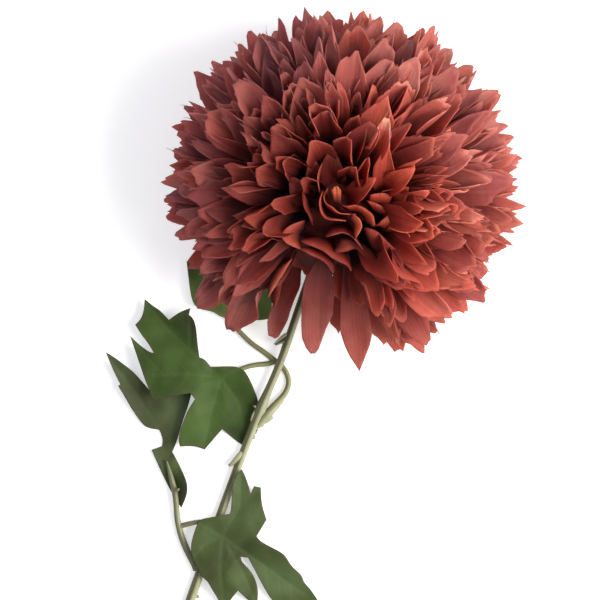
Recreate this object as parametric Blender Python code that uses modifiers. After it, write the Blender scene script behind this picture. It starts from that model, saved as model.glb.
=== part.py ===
"""Artificial ball chrysanthemum on a leafy stem, laid down on a surface.

Lengths are in millimetres and are scaled to metres as each mesh is made.
The plan is drawn round the point below the bloom's centre; +Y runs from the
stem towards the bloom and +Z is up, away from the surface.
"""
import math
import random

import bmesh
import bpy
from mathutils import Matrix, Vector, geometry, noise

MM = 0.001

# Where the point below the bloom's centre lies, seen from the middle of the object's base
BLOOM_AT = (33.7, 149.9)
# The leaves and stems were laid out on a plan grid: its step, and the grid point below the bloom
GRID = 0.41
GRID_CENTRE = (300.0, 300.0)
GRID_CENTRE_MM = (-16.8, -45.2)

SEAT_GAP = 0.3

# Bloom
BALL_RADIUS = 72.0
CROWN_HEIGHT = 52.0
SKIRT_DEPTH = 58.0
BLOOM_HEIGHT = 34.0
BLOOM_TILT = math.radians(18)
BLOOM_TILT_TOWARDS = math.radians(240)
PETAL_COUNT = 268
LAST_PETAL_ANGLE = math.radians(126)
GOLDEN_ANGLE = math.pi * (3 - math.sqrt(5))
PETAL_SEED = 3
BLADE_THICKNESS = 0.9
# Neighbouring petals drift and lean together over about this share of the ball
DRIFT_SHARE = 0.45
# Petal widths at the crown and further out, and how deep the crown dips
CROWN_WIDTH = 7.4
OUTER_WIDTH = 12.0
CROWN_DIP = 0.15
# How far petals stray: each by itself, and together with its neighbours
PLACE_JITTER = math.radians(3.6)
PLACE_DRIFT = math.radians(10)
TURN_JITTER = 0.14
TURN_DRIFT = 0.26
LEAN = math.radians(24)
LEAN_JITTER = math.radians(15)
LEAN_DRIFT = math.radians(26)
TWIST_JITTER = math.radians(32)
TWIST_DRIFT = math.radians(44)
WIDTH_JITTER = 0.24
REACH_JITTER = 0.045
BEND_JITTER = 3.8
CURL_JITTER = 2.2
# Share of the half width that a petal's edges rise over its middle, its jitter, and more at the crown
CUP = 0.48
CUP_JITTER = 0.20
CROWN_CUP = 0.25
# Petals at the crown stand up by this much
CROWN_UPRIGHT = math.radians(20)
# Petals that are pushed up by what lies below them are layered, so that no two share a plane
LAYERS = 9
LAYER_STEP = 0.07
CORE_RADIUS = 37.0
CORE_RISE = 31.0
CORE_DROP = 14.5
CORE_SEAT = 17.0
CORE_STEPS = 4
CORE_SIDES = 20
ROOT_DEPTH = 0.86

# The stem's direction in plan, and the sector round it where the bloom opens down to its lowest petals
STEM_AZIMUTH = math.radians(249.7)
OPEN_AZIMUTH = math.radians(257)
OPEN_HALF = math.radians(36)
OPEN_FROM = math.radians(28)

# Petals of the open sector: azimuth, tip radius, tip height over the surface, width, sideways bend,
# then the slopes of the root and the tip in degrees from upright
SET_PETALS = (
    (219.0, 75.0, 26.0, 13.5, 0.0, 66, 122),
    (225.5, 67.5, 24.0, 13.0, 0.0, 62, 124),
    (228.5, 71.5, 21.0, 14.0, 6.0, 58, 128),
    (241.0, 65.5, 11.5, 8.5, 5.4, 84, 112),
    (258.5, 68.0, 20.0, 13.0, 3.6, 52, 130),
    (269.0, 59.5, 12.5, 9.0, 0.0, 84, 112),
    (275.6, 74.0, 20.0, 12.5, 0.0, 60, 126),
    (286.0, 66.0, 24.0, 10.5, 0.0, 64, 122),
    (289.0, 72.0, 17.0, 10.5, 0.0, 82, 112),
    (296.0, 73.5, 22.0, 11.0, 0.0, 74, 116),
    (213.5, 67.0, 33.0, 12.5, 0.0, 70, 106),
    (222.0, 60.0, 34.0, 12.0, 0.0, 70, 105),
    (231.0, 52.0, 37.0, 11.0, 0.0, 66, 104),
    (240.0, 44.0, 41.0, 12.0, 0.0, 58, 112),
    (247.5, 34.5, 47.0, 11.0, 0.0, 54, 110),
    (268.0, 46.0, 37.0, 8.5, 0.0, 60, 112),
    (281.3, 48.5, 40.0, 11.0, 0.0, 58, 108),
    (291.0, 57.0, 34.0, 12.0, 0.0, 68, 105),
    (299.0, 65.0, 29.0, 12.0, 0.0, 74, 107),
    (217.0, 33.0, 59.0, 12.0, 0.0, 40, 70),
    (228.0, 31.0, 60.5, 12.5, 0.0, 38, 66),
    (240.0, 30.5, 60.0, 12.5, 0.0, 40, 68),
    (252.0, 32.5, 58.0, 12.5, 0.0, 42, 72),
    (263.0, 34.5, 56.0, 12.5, 0.0, 44, 74),
    (272.0, 27.5, 62.0, 11.5, 0.0, 36, 64),
    (283.0, 33.5, 58.5, 12.0, 0.0, 42, 72),
    (293.0, 40.5, 54.0, 12.5, 0.0, 46, 76),
)
# Their twists in degrees and how far they are cupped, in turn
SET_TWISTS = (0.0, 6.0, -5.0, 3.0, -8.0, 10.0)
SET_CUPS = (0.30, 0.42, 0.36, 0.50)

# Azimuths of the petals that bend down under the bloom and carry it, and where they touch down
RESTING_PETALS = (8.0, 52.0, 98.0, 143.0, 186.0, 306.0, 338.0)
RESTING_RADIUS = 50.0
RESTING_WIDTH = 12.0
# Their slope at the root from upright, how far the ones behind spring higher, and their slope at the tip
RESTING_ROOT = math.radians(108)
RESTING_ROOT_LIFT = math.radians(44)
RESTING_TIP = math.radians(100)
RESTING_PRESS = 8.0

# Calyx: a turned cup below the core, on the bloom's own axis: radius and height from its middle
CALYX_FOOT = -21.0
CALYX_PROFILE = (
    (0.0, -CORE_DROP - SEAT_GAP),
    (11.5, -CORE_DROP - SEAT_GAP),
    (12.0, -15.6),
    (9.5, -17.4),
    (5.0, -19.2),
    (3.0, CALYX_FOOT),
    (0.0, CALYX_FOOT),
)
CALYX_SIDES = 20

# Main stem: how its top end sits below the calyx, then plan grid place, height and radius
STEM_TOP_DROP = -CALYX_FOOT + SEAT_GAP
STEM_TOP_STRAIGHT = 1.5
STEM_TOP_PULL = 8.0
STEM_RUN = (
    ((328.0, 226.0, 4.7), 1.55),
    ((302.5, 297.0, 4.7), 1.55),
    ((282.5, 357.0, 4.6), 1.6),
    ((268.0, 391.0, 4.1), 1.6),
    ((258.5, 413.5, 3.6), 2.1),
    ((253.0, 427.0, 3.3), 1.65),
    ((240.5, 460.0, 2.6), 1.65),
    ((228.8, 491.0, 2.1), 1.7),
    ((220.5, 514.0, 2.0), 1.7),
    ((201.0, 569.0, 1.9), 1.85),
    ((190.0, 600.0, 1.95), 1.85),
    ((130.0, 766.0, 2.0), 1.9),
    ((66.0, 936.0, 2.1), 2.0),
    ((5.0, 1098.0, 2.2), 2.1),
)
STEM_STEP = 8.0

# Moulded stubs on the stem: foot and tip on the plan grid, their heights, foot radius and tip radius
STEM_STUBS = (
    ((288.0, 339.0, 4.7), (275.5, 344.5, 5.6), 0.9, 0.35),
    ((238.0, 461.0, 2.6), (229.0, 465.6, 3.4), 1.1, 0.45),
    ((259.5, 410.5, 3.6), (253.5, 406.0, 4.2), 1.0, 0.4),
    ((259.5, 412.5, 3.5), (268.5, 420.0, 3.9), 1.2, 0.7),
    ((256.0, 418.5, 3.4), (263.0, 426.0, 3.4), 0.9, 0.5),
    ((251.0, 431.0, 3.0), (256.5, 433.0, 3.0), 0.8, 0.5),
    ((192.5, 596.0, 1.9), (198.5, 597.5, 1.9), 0.9, 0.5),
)

# Forked shoot: its routes as grid places with heights, and their radii
SHOOT_MAIN = (
    (269.0, 411.4, 3.6),
    (276.0, 403.5, 2.8),
    (285.0, 395.0, 1.9),
    (289.7, 384.0, 1.3),
    (287.5, 374.0, 1.2),
    (282.0, 366.0, 1.15),
    (275.0, 361.0, 1.15),
    (263.0, 351.5, 1.4),
    (250.5, 343.0, 2.1),
    (235.5, 327.5, 3.0),
)
SHOOT_MAIN_RADII = (1.45, 1.25, 1.15, 1.1, 1.05, 1.05, 1.05, 1.0, 0.95, 0.9)
SHOOT_FORK = (
    (275.0, 361.0, 1.15),
    (268.5, 364.2, 1.2),
    (254.6, 364.8, 1.9),
    (239.5, 369.5, 2.55),
)
SHOOT_FORK_RADII = (0.95, 1.0, 0.95, 0.85)
SHOOT_STEP = 4.0

# Side branch, its petiole and a bud scale on it
BRANCH_MAIN = (
    (192.6, 566.6, 2.0),
    (191.0, 559.6, 1.8),
    (184.5, 546.5, 1.6),
    (180.0, 534.0, 1.6),
    (177.0, 520.4, 1.9),
    (175.9, 502.5, 2.7),
    (174.2, 490.0, 3.0),
    (170.4, 475.7, 2.9),
    (166.0, 460.0, 2.05),
)
BRANCH_MAIN_RADII = (1.3, 1.4, 1.35, 1.3, 1.2, 1.1, 1.05, 1.0, 0.9)
BRANCH_PETIOLE = (
    (178.5, 527.5, 1.7),
    (184.0, 525.6, 2.2),
    (192.0, 523.2, 3.2),
    (201.0, 521.6, 3.85),
)
BRANCH_PETIOLE_RADII = (0.9, 0.95, 0.9, 0.75)
BRANCH_BUD = ((174.6, 491.0, 3.2), (178.6, 489.3, 4.9), 0.8, 0.4)
BRANCH_STEP = 4.5

# Leaves: thickness, how far the blade rises between veins, and the spacing of the mesh inside
LEAF_THICKNESS = 0.7
VEIN_FOLD = 1.5
VEIN_REACH = 17.0
VEIN_DIP = 0.25
LEAF_CELL = 12.0
ROW_SHARE = 0.87
LEAVES = {
    "leaf_upper": {
        "outline": (
            (241.5, 369.0), (245.5, 371.0), (251.0, 382.0), (255.6, 393.6), (259.0, 403.5),
            (257.0, 413.5), (244.5, 446.0), (240.0, 445.0), (222.0, 429.5), (204.4, 450.0),
            (194.4, 445.6), (180.0, 446.7), (178.0, 440.0), (180.0, 430.0), (187.0, 411.0),
            (195.0, 399.0), (190.5, 393.0), (183.0, 394.0), (168.0, 397.5), (153.0, 400.0),
            (149.5, 389.6), (145.6, 380.5), (138.6, 360.0), (130.2, 336.0), (140.7, 346.0),
            (151.0, 353.0), (153.7, 352.5), (147.7, 342.0), (142.0, 335.6), (135.4, 324.7),
            (143.5, 316.7), (144.6, 299.0), (154.7, 307.5), (159.6, 309.6), (169.0, 319.8),
            (179.3, 311.8), (190.5, 308.0), (189.0, 314.6), (195.8, 320.2), (197.5, 343.0),
            (199.6, 357.4), (205.0, 359.0), (210.5, 366.8), (222.7, 366.4), (236.5, 366.0),
        ),
        "veins": (
            ((241.0, 368.5), (222.0, 378.0), (190.0, 374.0), (155.0, 375.5)),
            ((222.0, 378.0), (190.0, 350.0), (165.0, 325.0), (146.0, 303.0)),
            ((190.0, 350.0), (191.0, 330.0), (190.0, 312.0)),
            ((165.0, 375.0), (148.0, 358.0), (133.0, 339.0)),
            ((222.0, 378.0), (213.0, 408.0), (204.0, 446.0)),
            ((222.0, 378.0), (240.0, 405.0), (245.0, 438.0)),
        ),
        "posts": (
            (243.0, 369.0, 4.0), (222.0, 378.0, 4.1), (190.0, 374.0, 6.2), (168.0, 392.0, 7.0),
            (150.0, 385.0, 6.6), (133.0, 340.0, 5.0), (146.0, 303.0, 3.4), (188.0, 312.0, 5.4),
            (165.0, 335.0, 4.2), (197.0, 345.0, 5.4), (205.0, 445.0, 1.6), (185.0, 435.0, 3.2),
            (190.0, 405.0, 5.2), (213.0, 405.0, 2.4), (245.0, 395.0, 0.6), (257.0, 405.0, 0.0),
            (254.0, 418.0, 0.0), (244.0, 443.0, 0.0), (228.0, 425.0, 0.8),
        ),
    },
    "leaf_hidden": {
        "outline": (
            (238.0, 331.5), (231.0, 322.0), (226.0, 318.0), (219.5, 317.0), (213.0, 311.0),
            (200.0, 310.0), (191.6, 304.0), (188.7, 281.5), (186.2, 261.0), (200.0, 262.0),
            (214.0, 256.0), (228.0, 268.0), (245.0, 266.0), (256.0, 280.0), (273.0, 284.0),
            (273.0, 296.0), (270.4, 318.8), (256.0, 321.3), (247.0, 318.0), (243.0, 328.0),
        ),
        "veins": (
            ((239.0, 329.5), (230.0, 300.0), (216.0, 262.0)),
            ((234.0, 313.0), (210.0, 290.0), (190.0, 266.0)),
            ((234.0, 313.0), (252.0, 300.0), (270.0, 288.0)),
        ),
        "posts": (
            (239.0, 330.0, 4.5), (230.0, 300.0, 3.6), (190.0, 285.0, 1.6), (188.0, 263.0, 1.0),
            (216.0, 262.0, 1.4), (268.0, 290.0, 2.2), (268.0, 316.0, 1.2), (221.0, 315.0, 2.0),
        ),
    },
    "leaf_side": {
        "outline": (
            (105.7, 352.0), (113.8, 356.5), (126.8, 366.8), (133.7, 372.0), (142.8, 382.8),
            (149.3, 390.5), (153.5, 398.0), (166.0, 394.0), (180.0, 391.0), (191.0, 394.0),
            (187.2, 409.0), (182.6, 419.6), (177.3, 440.0), (172.0, 452.5), (175.7, 458.0),
            (182.0, 471.0), (187.8, 483.0), (187.3, 495.4), (181.0, 508.5), (176.5, 501.0),
            (169.5, 491.0), (157.9, 466.0), (151.2, 450.3), (161.4, 446.7), (162.7, 439.5),
            (158.9, 430.3), (149.0, 428.8), (143.6, 426.5), (136.7, 417.3), (130.6, 408.0),
            (125.0, 397.4), (118.0, 386.0), (120.3, 384.4), (114.5, 373.7),
        ),
        "veins": (
            ((167.0, 462.0), (158.0, 428.0), (135.0, 392.0), (108.0, 355.0)),
            ((167.0, 462.0), (171.0, 430.0), (178.0, 396.0)),
            ((167.0, 462.0), (172.5, 477.0), (176.5, 490.0), (178.5, 499.0)),
        ),
        "posts": (
            (107.0, 354.0, 5.0), (130.0, 385.0, 2.4), (120.0, 385.0, 3.4), (150.0, 420.0, 0.6),
            (178.0, 394.0, 0.3), (155.0, 398.0, 0.6), (170.0, 425.0, 0.2), (184.0, 415.0, 0.6),
            (165.0, 447.0, 0.2), (167.0, 462.0, 0.0), (152.0, 452.0, 0.9), (172.0, 483.0, 0.0),
            (189.0, 485.0, 5.6), (186.0, 500.0, 4.0), (177.0, 501.0, 0.0), (173.0, 468.0, 0.0),
            (177.0, 488.0, 0.0), (180.0, 462.0, 2.4),
        ),
    },
    "leaf_lower": {
        "outline": (
            (197.5, 521.5), (202.0, 518.5), (217.5, 516.0), (229.6, 513.6), (231.3, 510.0),
            (231.8, 491.0), (233.6, 478.0), (241.6, 469.0), (244.3, 473.0), (248.8, 486.0),
            (250.5, 493.5), (254.0, 486.3), (260.8, 487.7), (261.3, 504.6), (266.6, 519.8),
            (256.6, 536.3), (260.4, 542.0), (277.3, 550.2), (286.3, 556.0), (290.3, 566.3),
            (302.3, 575.2), (302.8, 582.3), (310.4, 589.5), (319.0, 603.0), (306.0, 606.0),
            (292.0, 617.0), (281.0, 612.0), (268.0, 596.0), (260.8, 582.0), (248.0, 558.0),
            (240.7, 557.0), (241.6, 562.7), (251.4, 570.7), (259.0, 588.0), (257.0, 606.0),
            (246.5, 600.0), (238.0, 590.8), (229.6, 601.0), (224.0, 612.0), (218.4, 600.0),
            (212.0, 589.5), (207.7, 580.5), (201.4, 577.0), (197.0, 566.0), (191.6, 558.0),
            (190.7, 544.8), (192.5, 537.7),
        ),
        "veins": (
            ((198.5, 522.0), (223.0, 536.0), (262.0, 564.0), (306.0, 596.0)),
            ((223.0, 536.0), (240.0, 508.0), (241.0, 474.0)),
            ((240.0, 508.0), (252.0, 498.0), (259.0, 489.0)),
            ((223.0, 536.0), (221.0, 570.0), (224.0, 606.0)),
            ((223.0, 536.0), (205.0, 545.0), (195.0, 556.0)),
            ((228.0, 545.0), (244.0, 575.0), (256.0, 602.0)),
        ),
        "posts": (
            (198.0, 522.0, 5.0), (223.0, 536.0, 5.0), (222.0, 514.0, 5.0), (236.0, 478.0, 4.9),
            (242.0, 470.0, 4.9), (232.0, 492.0, 4.9), (258.0, 490.0, 2.6), (264.0, 518.0, 2.4),
            (240.0, 505.0, 4.4), (192.0, 545.0, 4.6), (199.0, 566.0, 4.6), (208.0, 580.0, 4.4),
            (222.0, 608.0, 2.0), (222.0, 575.0, 5.4), (245.0, 545.0, 3.4), (280.0, 560.0, 2.0),
            (312.0, 600.0, 0.4), (290.0, 612.0, 0.6), (262.0, 575.0, 2.0), (250.0, 600.0, 1.4),
        ),
    },
}

PETAL_COLOUR = (0.33, 0.085, 0.066)
CALYX_COLOUR = (0.17, 0.22, 0.09)
STEM_COLOUR = (0.27, 0.29, 0.12)
SHOOT_COLOUR = (0.25, 0.26, 0.09)
LEAF_COLOUR = (0.075, 0.125, 0.045)


def clear_scene():
    for item in list(bpy.data.objects):
        bpy.data.objects.remove(item, do_unlink=True)


def new_collection(name):
    group = bpy.data.collections.new(name)
    bpy.context.scene.collection.children.link(group)
    return group


def make_material(name, colour, roughness):
    material = bpy.data.materials.new(name)
    material.use_nodes = True
    shader = material.node_tree.nodes["Principled BSDF"]
    shader.inputs["Base Color"].default_value = (*colour, 1.0)
    shader.inputs["Roughness"].default_value = roughness
    shader.inputs["Metallic"].default_value = 0.0
    return material


def to_row(point):
    """Plan millimetres to metres in the object's own frame."""
    return Vector(((point[0] + BLOOM_AT[0]) * MM, (point[1] + BLOOM_AT[1]) * MM, point[2] * MM))


def from_grid(u, v):
    """A point of the plan grid, whose v runs down, to plan millimetres."""
    x = GRID_CENTRE_MM[0] + (u - GRID_CENTRE[0]) * GRID
    y = GRID_CENTRE_MM[1] - (v - GRID_CENTRE[1]) * GRID
    return (x, y)


def add_mesh(name, points, faces, group, material):
    """One object from plan points in millimetres, with its faces turned outwards."""
    mesh = bpy.data.meshes.new(name)
    mesh.from_pydata([to_row(point) for point in points], [], faces)
    build = bmesh.new()
    build.from_mesh(mesh)
    bmesh.ops.recalc_face_normals(build, faces=build.faces)
    build.to_mesh(mesh)
    build.free()
    item = bpy.data.objects.new(name, mesh)
    item.data.materials.append(material)
    group.objects.link(item)
    return item


def smooth_step(value, low, high):
    share = min(1.0, max(0.0, (value - low) / (high - low)))
    return share * share * (3 - 2 * share)


def turn_from(angle, reference):
    """How far angle lies from reference, from minus pi to pi."""
    return (angle - reference + math.pi) % (2 * math.pi) - math.pi


# Petals


def drift(azimuth, angle, kind):
    """A smooth chance value that neighbouring petals share."""
    across = Vector((math.cos(azimuth), math.sin(azimuth), 0)) * math.sin(angle)
    place = across + Vector((0, 0, math.cos(angle)))
    return noise.noise(place / DRIFT_SHARE + Vector((0, 0, 20 * kind)))


def rule_petals(draw):
    """Petals set out by the golden angle from the crown down to the skirt."""
    petals = []
    for index in range(PETAL_COUNT):
        share = ((index + 0.5) / PETAL_COUNT) ** 1.08
        angle = math.acos(1 - share * (1 - math.cos(LAST_PETAL_ANGLE)))
        azimuth = index * GOLDEN_ANGLE
        chance = [draw.uniform(-1, 1) for _ in range(14)]
        drifts = [drift(azimuth, angle, kind) for kind in range(4)]
        slope = math.degrees(angle)
        angle += PLACE_JITTER * chance[10] + PLACE_DRIFT * drifts[0] * smooth_step(slope, 8, 30)
        azimuth += (TURN_JITTER * chance[11] + TURN_DRIFT * drifts[1]) / max(0.35, math.sin(angle))
        if abs(turn_from(azimuth, OPEN_AZIMUTH)) < OPEN_HALF and angle > OPEN_FROM:
            continue
        inner = 1 - smooth_step(slope, 6, 36)
        reach = 1 + REACH_JITTER * chance[2] - 0.05 * max(0.0, chance[12] - 0.5)
        height = CROWN_HEIGHT if angle < math.pi / 2 else SKIRT_DEPTH
        dip = 1 - CROWN_DIP * math.exp(-(slope / 18) ** 2)
        lean = LEAN * max(0.0, math.sin(2 * min(angle, math.pi / 2)))
        lean += LEAN_JITTER * chance[3] + LEAN_DRIFT * drifts[2]
        width = CROWN_WIDTH + (OUTER_WIDTH - CROWN_WIDTH) * smooth_step(slope, 8, 60)
        twist = TWIST_JITTER * chance[4] * (1 + 0.5 * inner) + TWIST_DRIFT * drifts[3]
        petals.append({
            "azimuth": azimuth,
            "width": width * (1 + WIDTH_JITTER * chance[1]),
            "tip_radius": BALL_RADIUS * math.sin(angle) * reach,
            "tip_height": height * math.cos(angle) * reach * dip,
            "root_angle": 0.66 * angle + math.radians(4 * chance[0]),
            "tip_angle": angle + lean * (1 - 0.6 * inner) - CROWN_UPRIGHT * inner,
            "twist": twist,
            "bend": BEND_JITTER * chance[5],
            "cup": CUP + CUP_JITTER * chance[6] + CROWN_CUP * inner,
            "curl": CURL_JITTER * chance[8],
            "lies_flat": False,
        })
    return petals


def set_petals():
    """The petals of the open sector, at their own places."""
    petals = []
    for index, (azimuth, radius, height, width, bend, root, tip) in enumerate(SET_PETALS):
        petals.append({
            "azimuth": math.radians(azimuth),
            "width": width,
            "tip_radius": radius,
            "tip_height": height - BLOOM_HEIGHT,
            "root_angle": math.radians(root),
            "tip_angle": math.radians(tip),
            "twist": math.radians(SET_TWISTS[index % len(SET_TWISTS)]),
            "bend": bend,
            "cup": SET_CUPS[index % len(SET_CUPS)],
            "curl": 0.0,
            "lies_flat": False,
        })
    return petals


def resting_root(azimuth):
    """Where a resting petal springs from the core: higher up where the tilt lifts it."""
    behind = max(0.0, -math.cos(azimuth - BLOOM_TILT_TOWARDS))
    return RESTING_ROOT - RESTING_ROOT_LIFT * behind


def resting_petals():
    """The petals under the bloom that lie on the surface."""
    return [{
        "azimuth": math.radians(azimuth),
        "width": RESTING_WIDTH,
        "tip_radius": RESTING_RADIUS,
        "tip_height": -BLOOM_HEIGHT - RESTING_PRESS,
        "root_angle": resting_root(math.radians(azimuth)),
        "tip_angle": RESTING_TIP,
        "twist": 0.0,
        "bend": 0.0,
        "cup": 0.1,
        "curl": 0.0,
        "lies_flat": True,
    } for azimuth in RESTING_PETALS]


def width_share(along):
    """Share of a petal's full width at a place from its root, 0, to its tip, 1."""
    widest = 0.68
    if along < widest:
        return 0.34 + 0.66 * math.sin(math.pi / 2 * along / widest) ** 1.2
    return math.sin(math.pi / 2 * (1 - along) / (1 - widest)) ** 0.72


def core_point(angle):
    """Distance out and height of a petal's root, inside the core."""
    rise = CORE_RISE if angle < math.pi / 2 else CORE_DROP
    return CORE_RADIUS * ROOT_DEPTH * math.sin(angle), rise * ROOT_DEPTH * math.cos(angle)


def petal_section(petal, along):
    """Middle, sideways and upward directions and half width of a petal at one place."""
    azimuth = petal["azimuth"]
    root_out, root_up = core_point(petal["root_angle"])
    tip_out, tip_up = petal["tip_radius"], petal["tip_height"]
    pull = 0.5 * math.hypot(tip_out - root_out, tip_up - root_up)
    knee_out = tip_out - pull * math.sin(petal["tip_angle"])
    knee_up = tip_up - pull * math.cos(petal["tip_angle"])
    back = 1 - along
    out_now = back * back * root_out + 2 * along * back * knee_out + along * along * tip_out
    up_now = back * back * root_up + 2 * along * back * knee_up + along * along * tip_up
    out_step = back * (knee_out - root_out) + along * (tip_out - knee_out)
    up_step = back * (knee_up - root_up) + along * (tip_up - knee_up)
    slope = math.atan2(out_step, up_step)
    out = Vector((math.cos(azimuth), math.sin(azimuth), 0))
    around = Vector((-math.sin(azimuth), math.cos(azimuth), 0))
    up = Vector((0, 0, 1))
    middle = out * out_now + up * up_now + around * petal["bend"] * along * along
    normal = up * math.sin(slope) - out * math.cos(slope)
    twist = petal["twist"] * along
    side = around * math.cos(twist) + normal * math.sin(twist)
    face = normal * math.cos(twist) - around * math.sin(twist)
    middle += face * petal["curl"] * smooth_step(along, 0.68, 1.0) ** 1.5
    return middle, side, face, petal["width"] / 2 * width_share(along)


def bloom_placement():
    """The bloom's tilt and height over the surface, in plan millimetres."""
    axis = Vector((-math.sin(BLOOM_TILT_TOWARDS), math.cos(BLOOM_TILT_TOWARDS), 0))
    return Matrix.Translation((0, 0, BLOOM_HEIGHT)) @ Matrix.Rotation(BLOOM_TILT, 4, axis)


def lowest_allowed(point):
    """Height that a petal keeps above the surface, the stem and the leaf under the bloom."""
    radius = math.hypot(point[0], point[1])
    azimuth = math.atan2(point[1], point[0])
    beside_stem = math.degrees(turn_from(azimuth, STEM_AZIMUTH))
    over_leaf = smooth_step(beside_stem, -62, -52) * (1 - smooth_step(beside_stem, 0, 4))
    over_leaf *= smooth_step(radius, 24, 32)
    from_stem = abs(radius * math.sin(math.radians(beside_stem)))
    over_stem = (1 - smooth_step(from_stem, 4.0, 9.0)) * (1.0 if abs(beside_stem) < 90 else 0.0)
    return max(8.5 * over_leaf, 8.0 * over_stem)


def raised(point, margin):
    return Vector((point[0], point[1], max(point[2], lowest_allowed(point) + margin)))


def petal_blade(number, petal, placement, group, material):
    """A closed cupped blade: a lens-shaped section at its root and its widest place, and a tip."""
    points = []
    faces = []
    layer = 0.0 if petal["lies_flat"] else LAYER_STEP * (1 + number % LAYERS)
    edge_margin = layer if petal["lies_flat"] else layer + 0.3
    for along in (0.0, 0.62):
        middle, side, face, half = petal_section(petal, along)
        edge_rise = face * petal["cup"] * half
        low = face * (-BLADE_THICKNESS / 2)
        left = raised(placement @ (middle - side * half + edge_rise), edge_margin)
        bottom = raised(placement @ (middle + low), layer)
        right = raised(placement @ (middle + side * half + edge_rise), edge_margin)
        top = raised(placement @ (middle - low), layer + BLADE_THICKNESS)
        points += [left, bottom, right, top]
    middle, side, face, half = petal_section(petal, 1.0)
    points.append(raised(placement @ middle, edge_margin))
    for corner in range(4):
        after = (corner + 1) % 4
        if corner in (0, 2):
            faces += [(corner, after, 4 + after), (corner, 4 + after, 4 + corner)]
        else:
            faces += [(corner, after, 4 + corner), (after, 4 + after, 4 + corner)]
        faces.append((4 + corner, 4 + after, 8))
    faces += [(0, 3, 1), (1, 3, 2)]
    return add_mesh("petal_%03d" % number, points, faces, group, material)


def turned(name, profile, steps, placement, group, material):
    """A solid of revolution from radii and heights that run down its outer side."""
    mesh = bpy.data.meshes.new(name)
    points = [(radius * MM, 0.0, height * MM) for radius, height in profile]
    mesh.from_pydata(points, [(index, index + 1) for index in range(len(points) - 1)], [])
    item = bpy.data.objects.new(name, mesh)
    group.objects.link(item)
    screw = item.modifiers.new("turn", "SCREW")
    screw.steps = steps
    screw.render_steps = steps
    screw.use_merge_vertices = True
    screw.merge_threshold = 0.00001
    bpy.context.view_layer.update()
    graph = bpy.context.evaluated_depsgraph_get()
    item.data = bpy.data.meshes.new_from_object(item.evaluated_get(graph))
    item.modifiers.clear()
    to_plan = Matrix.Translation((*BLOOM_AT, 0)) @ placement
    item.data.transform(Matrix.Scale(MM, 4) @ to_plan @ Matrix.Scale(1 / MM, 4))
    item.data.materials.append(material)
    return item


def bloom_core(group, material):
    """The small head inside the bloom that the petals grow from, with a flat seat below."""
    profile = [(0.0, CORE_RISE)]
    for step in range(1, CORE_STEPS + 1):
        slope = math.pi / 2 * (1 - step / CORE_STEPS)
        profile.append((CORE_RADIUS * math.cos(slope), CORE_RISE * math.sin(slope)))
    profile += [(0.82 * CORE_RADIUS, -0.6 * CORE_DROP), (CORE_SEAT, -CORE_DROP), (0.0, -CORE_DROP)]
    return turned("bloom", profile, CORE_SIDES, bloom_placement(), group, material)


def keep_largest_body(mesh):
    """Fill the hollows that fusing sealed and drop its loose scraps."""
    build = bmesh.new()
    build.from_mesh(mesh)
    unseen = set(build.faces)
    bodies = []
    while unseen:
        body = []
        front = [unseen.pop()]
        while front:
            face = front.pop()
            body.append(face)
            for edge in face.edges:
                for other in edge.link_faces:
                    if other in unseen and len(edge.link_faces) == 2:
                        unseen.remove(other)
                        front.append(other)
        bodies.append(body)
    bodies.sort(key=len)
    scraps = [face for body in bodies[:-1] for face in body]
    bmesh.ops.delete(build, geom=scraps, context="FACES")
    build.to_mesh(mesh)
    build.free()


def fuse(item, repeats):
    """Join a collection's objects to one object by a Boolean union and drop them."""
    union = item.modifiers.new("union", "BOOLEAN")
    union.operation = "UNION"
    union.operand_type = "COLLECTION"
    union.solver = "MANIFOLD"
    union.collection = repeats
    bpy.context.view_layer.update()
    graph = bpy.context.evaluated_depsgraph_get()
    mesh = bpy.data.meshes.new_from_object(item.evaluated_get(graph))
    item.modifiers.clear()
    item.data = mesh
    keep_largest_body(mesh)
    for part in list(repeats.objects):
        bpy.data.objects.remove(part, do_unlink=True)
    bpy.data.collections.remove(repeats)
    return item


def make_bloom(group):
    material = make_material("petals", PETAL_COLOUR, 0.75)
    draw = random.Random(PETAL_SEED)
    placement = bloom_placement()
    blades = new_collection("blades")
    upright = Matrix.Translation((0, 0, BLOOM_HEIGHT))
    for number, petal in enumerate(rule_petals(draw)):
        petal_blade(number, petal, placement, blades, material)
    for number, petal in enumerate(set_petals() + resting_petals()):
        petal_blade(PETAL_COUNT + number, petal, upright, blades, material)
    return fuse(bloom_core(group, material), blades)


# Calyx, stems and shoots


def make_calyx(group):
    """The turned cup that carries the core and takes the stem's top end."""
    material = make_material("calyx", CALYX_COLOUR, 0.55)
    return turned("calyx", CALYX_PROFILE, CALYX_SIDES, bloom_placement(), group, material)


def smooth_path(places, radii, step):
    """Points and radii along a smooth curve through places, about step apart."""
    path = []
    sizes = []
    last = len(places) - 1
    for index in range(last):
        a = places[max(0, index - 1)]
        b, c = places[index], places[index + 1]
        d = places[min(last, index + 2)]
        pieces = max(1, round((c - b).length / step))
        for piece in range(pieces):
            t = piece / pieces
            curve = (c - a) * t + (2 * a - 5 * b + 4 * c - d) * t * t + (3 * (b - c) + d - a) * t ** 3
            path.append(b + curve / 2)
            sizes.append(radii[index] + (radii[index + 1] - radii[index]) * t)
    path.append(places[-1])
    sizes.append(radii[-1])
    return path, sizes


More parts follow.
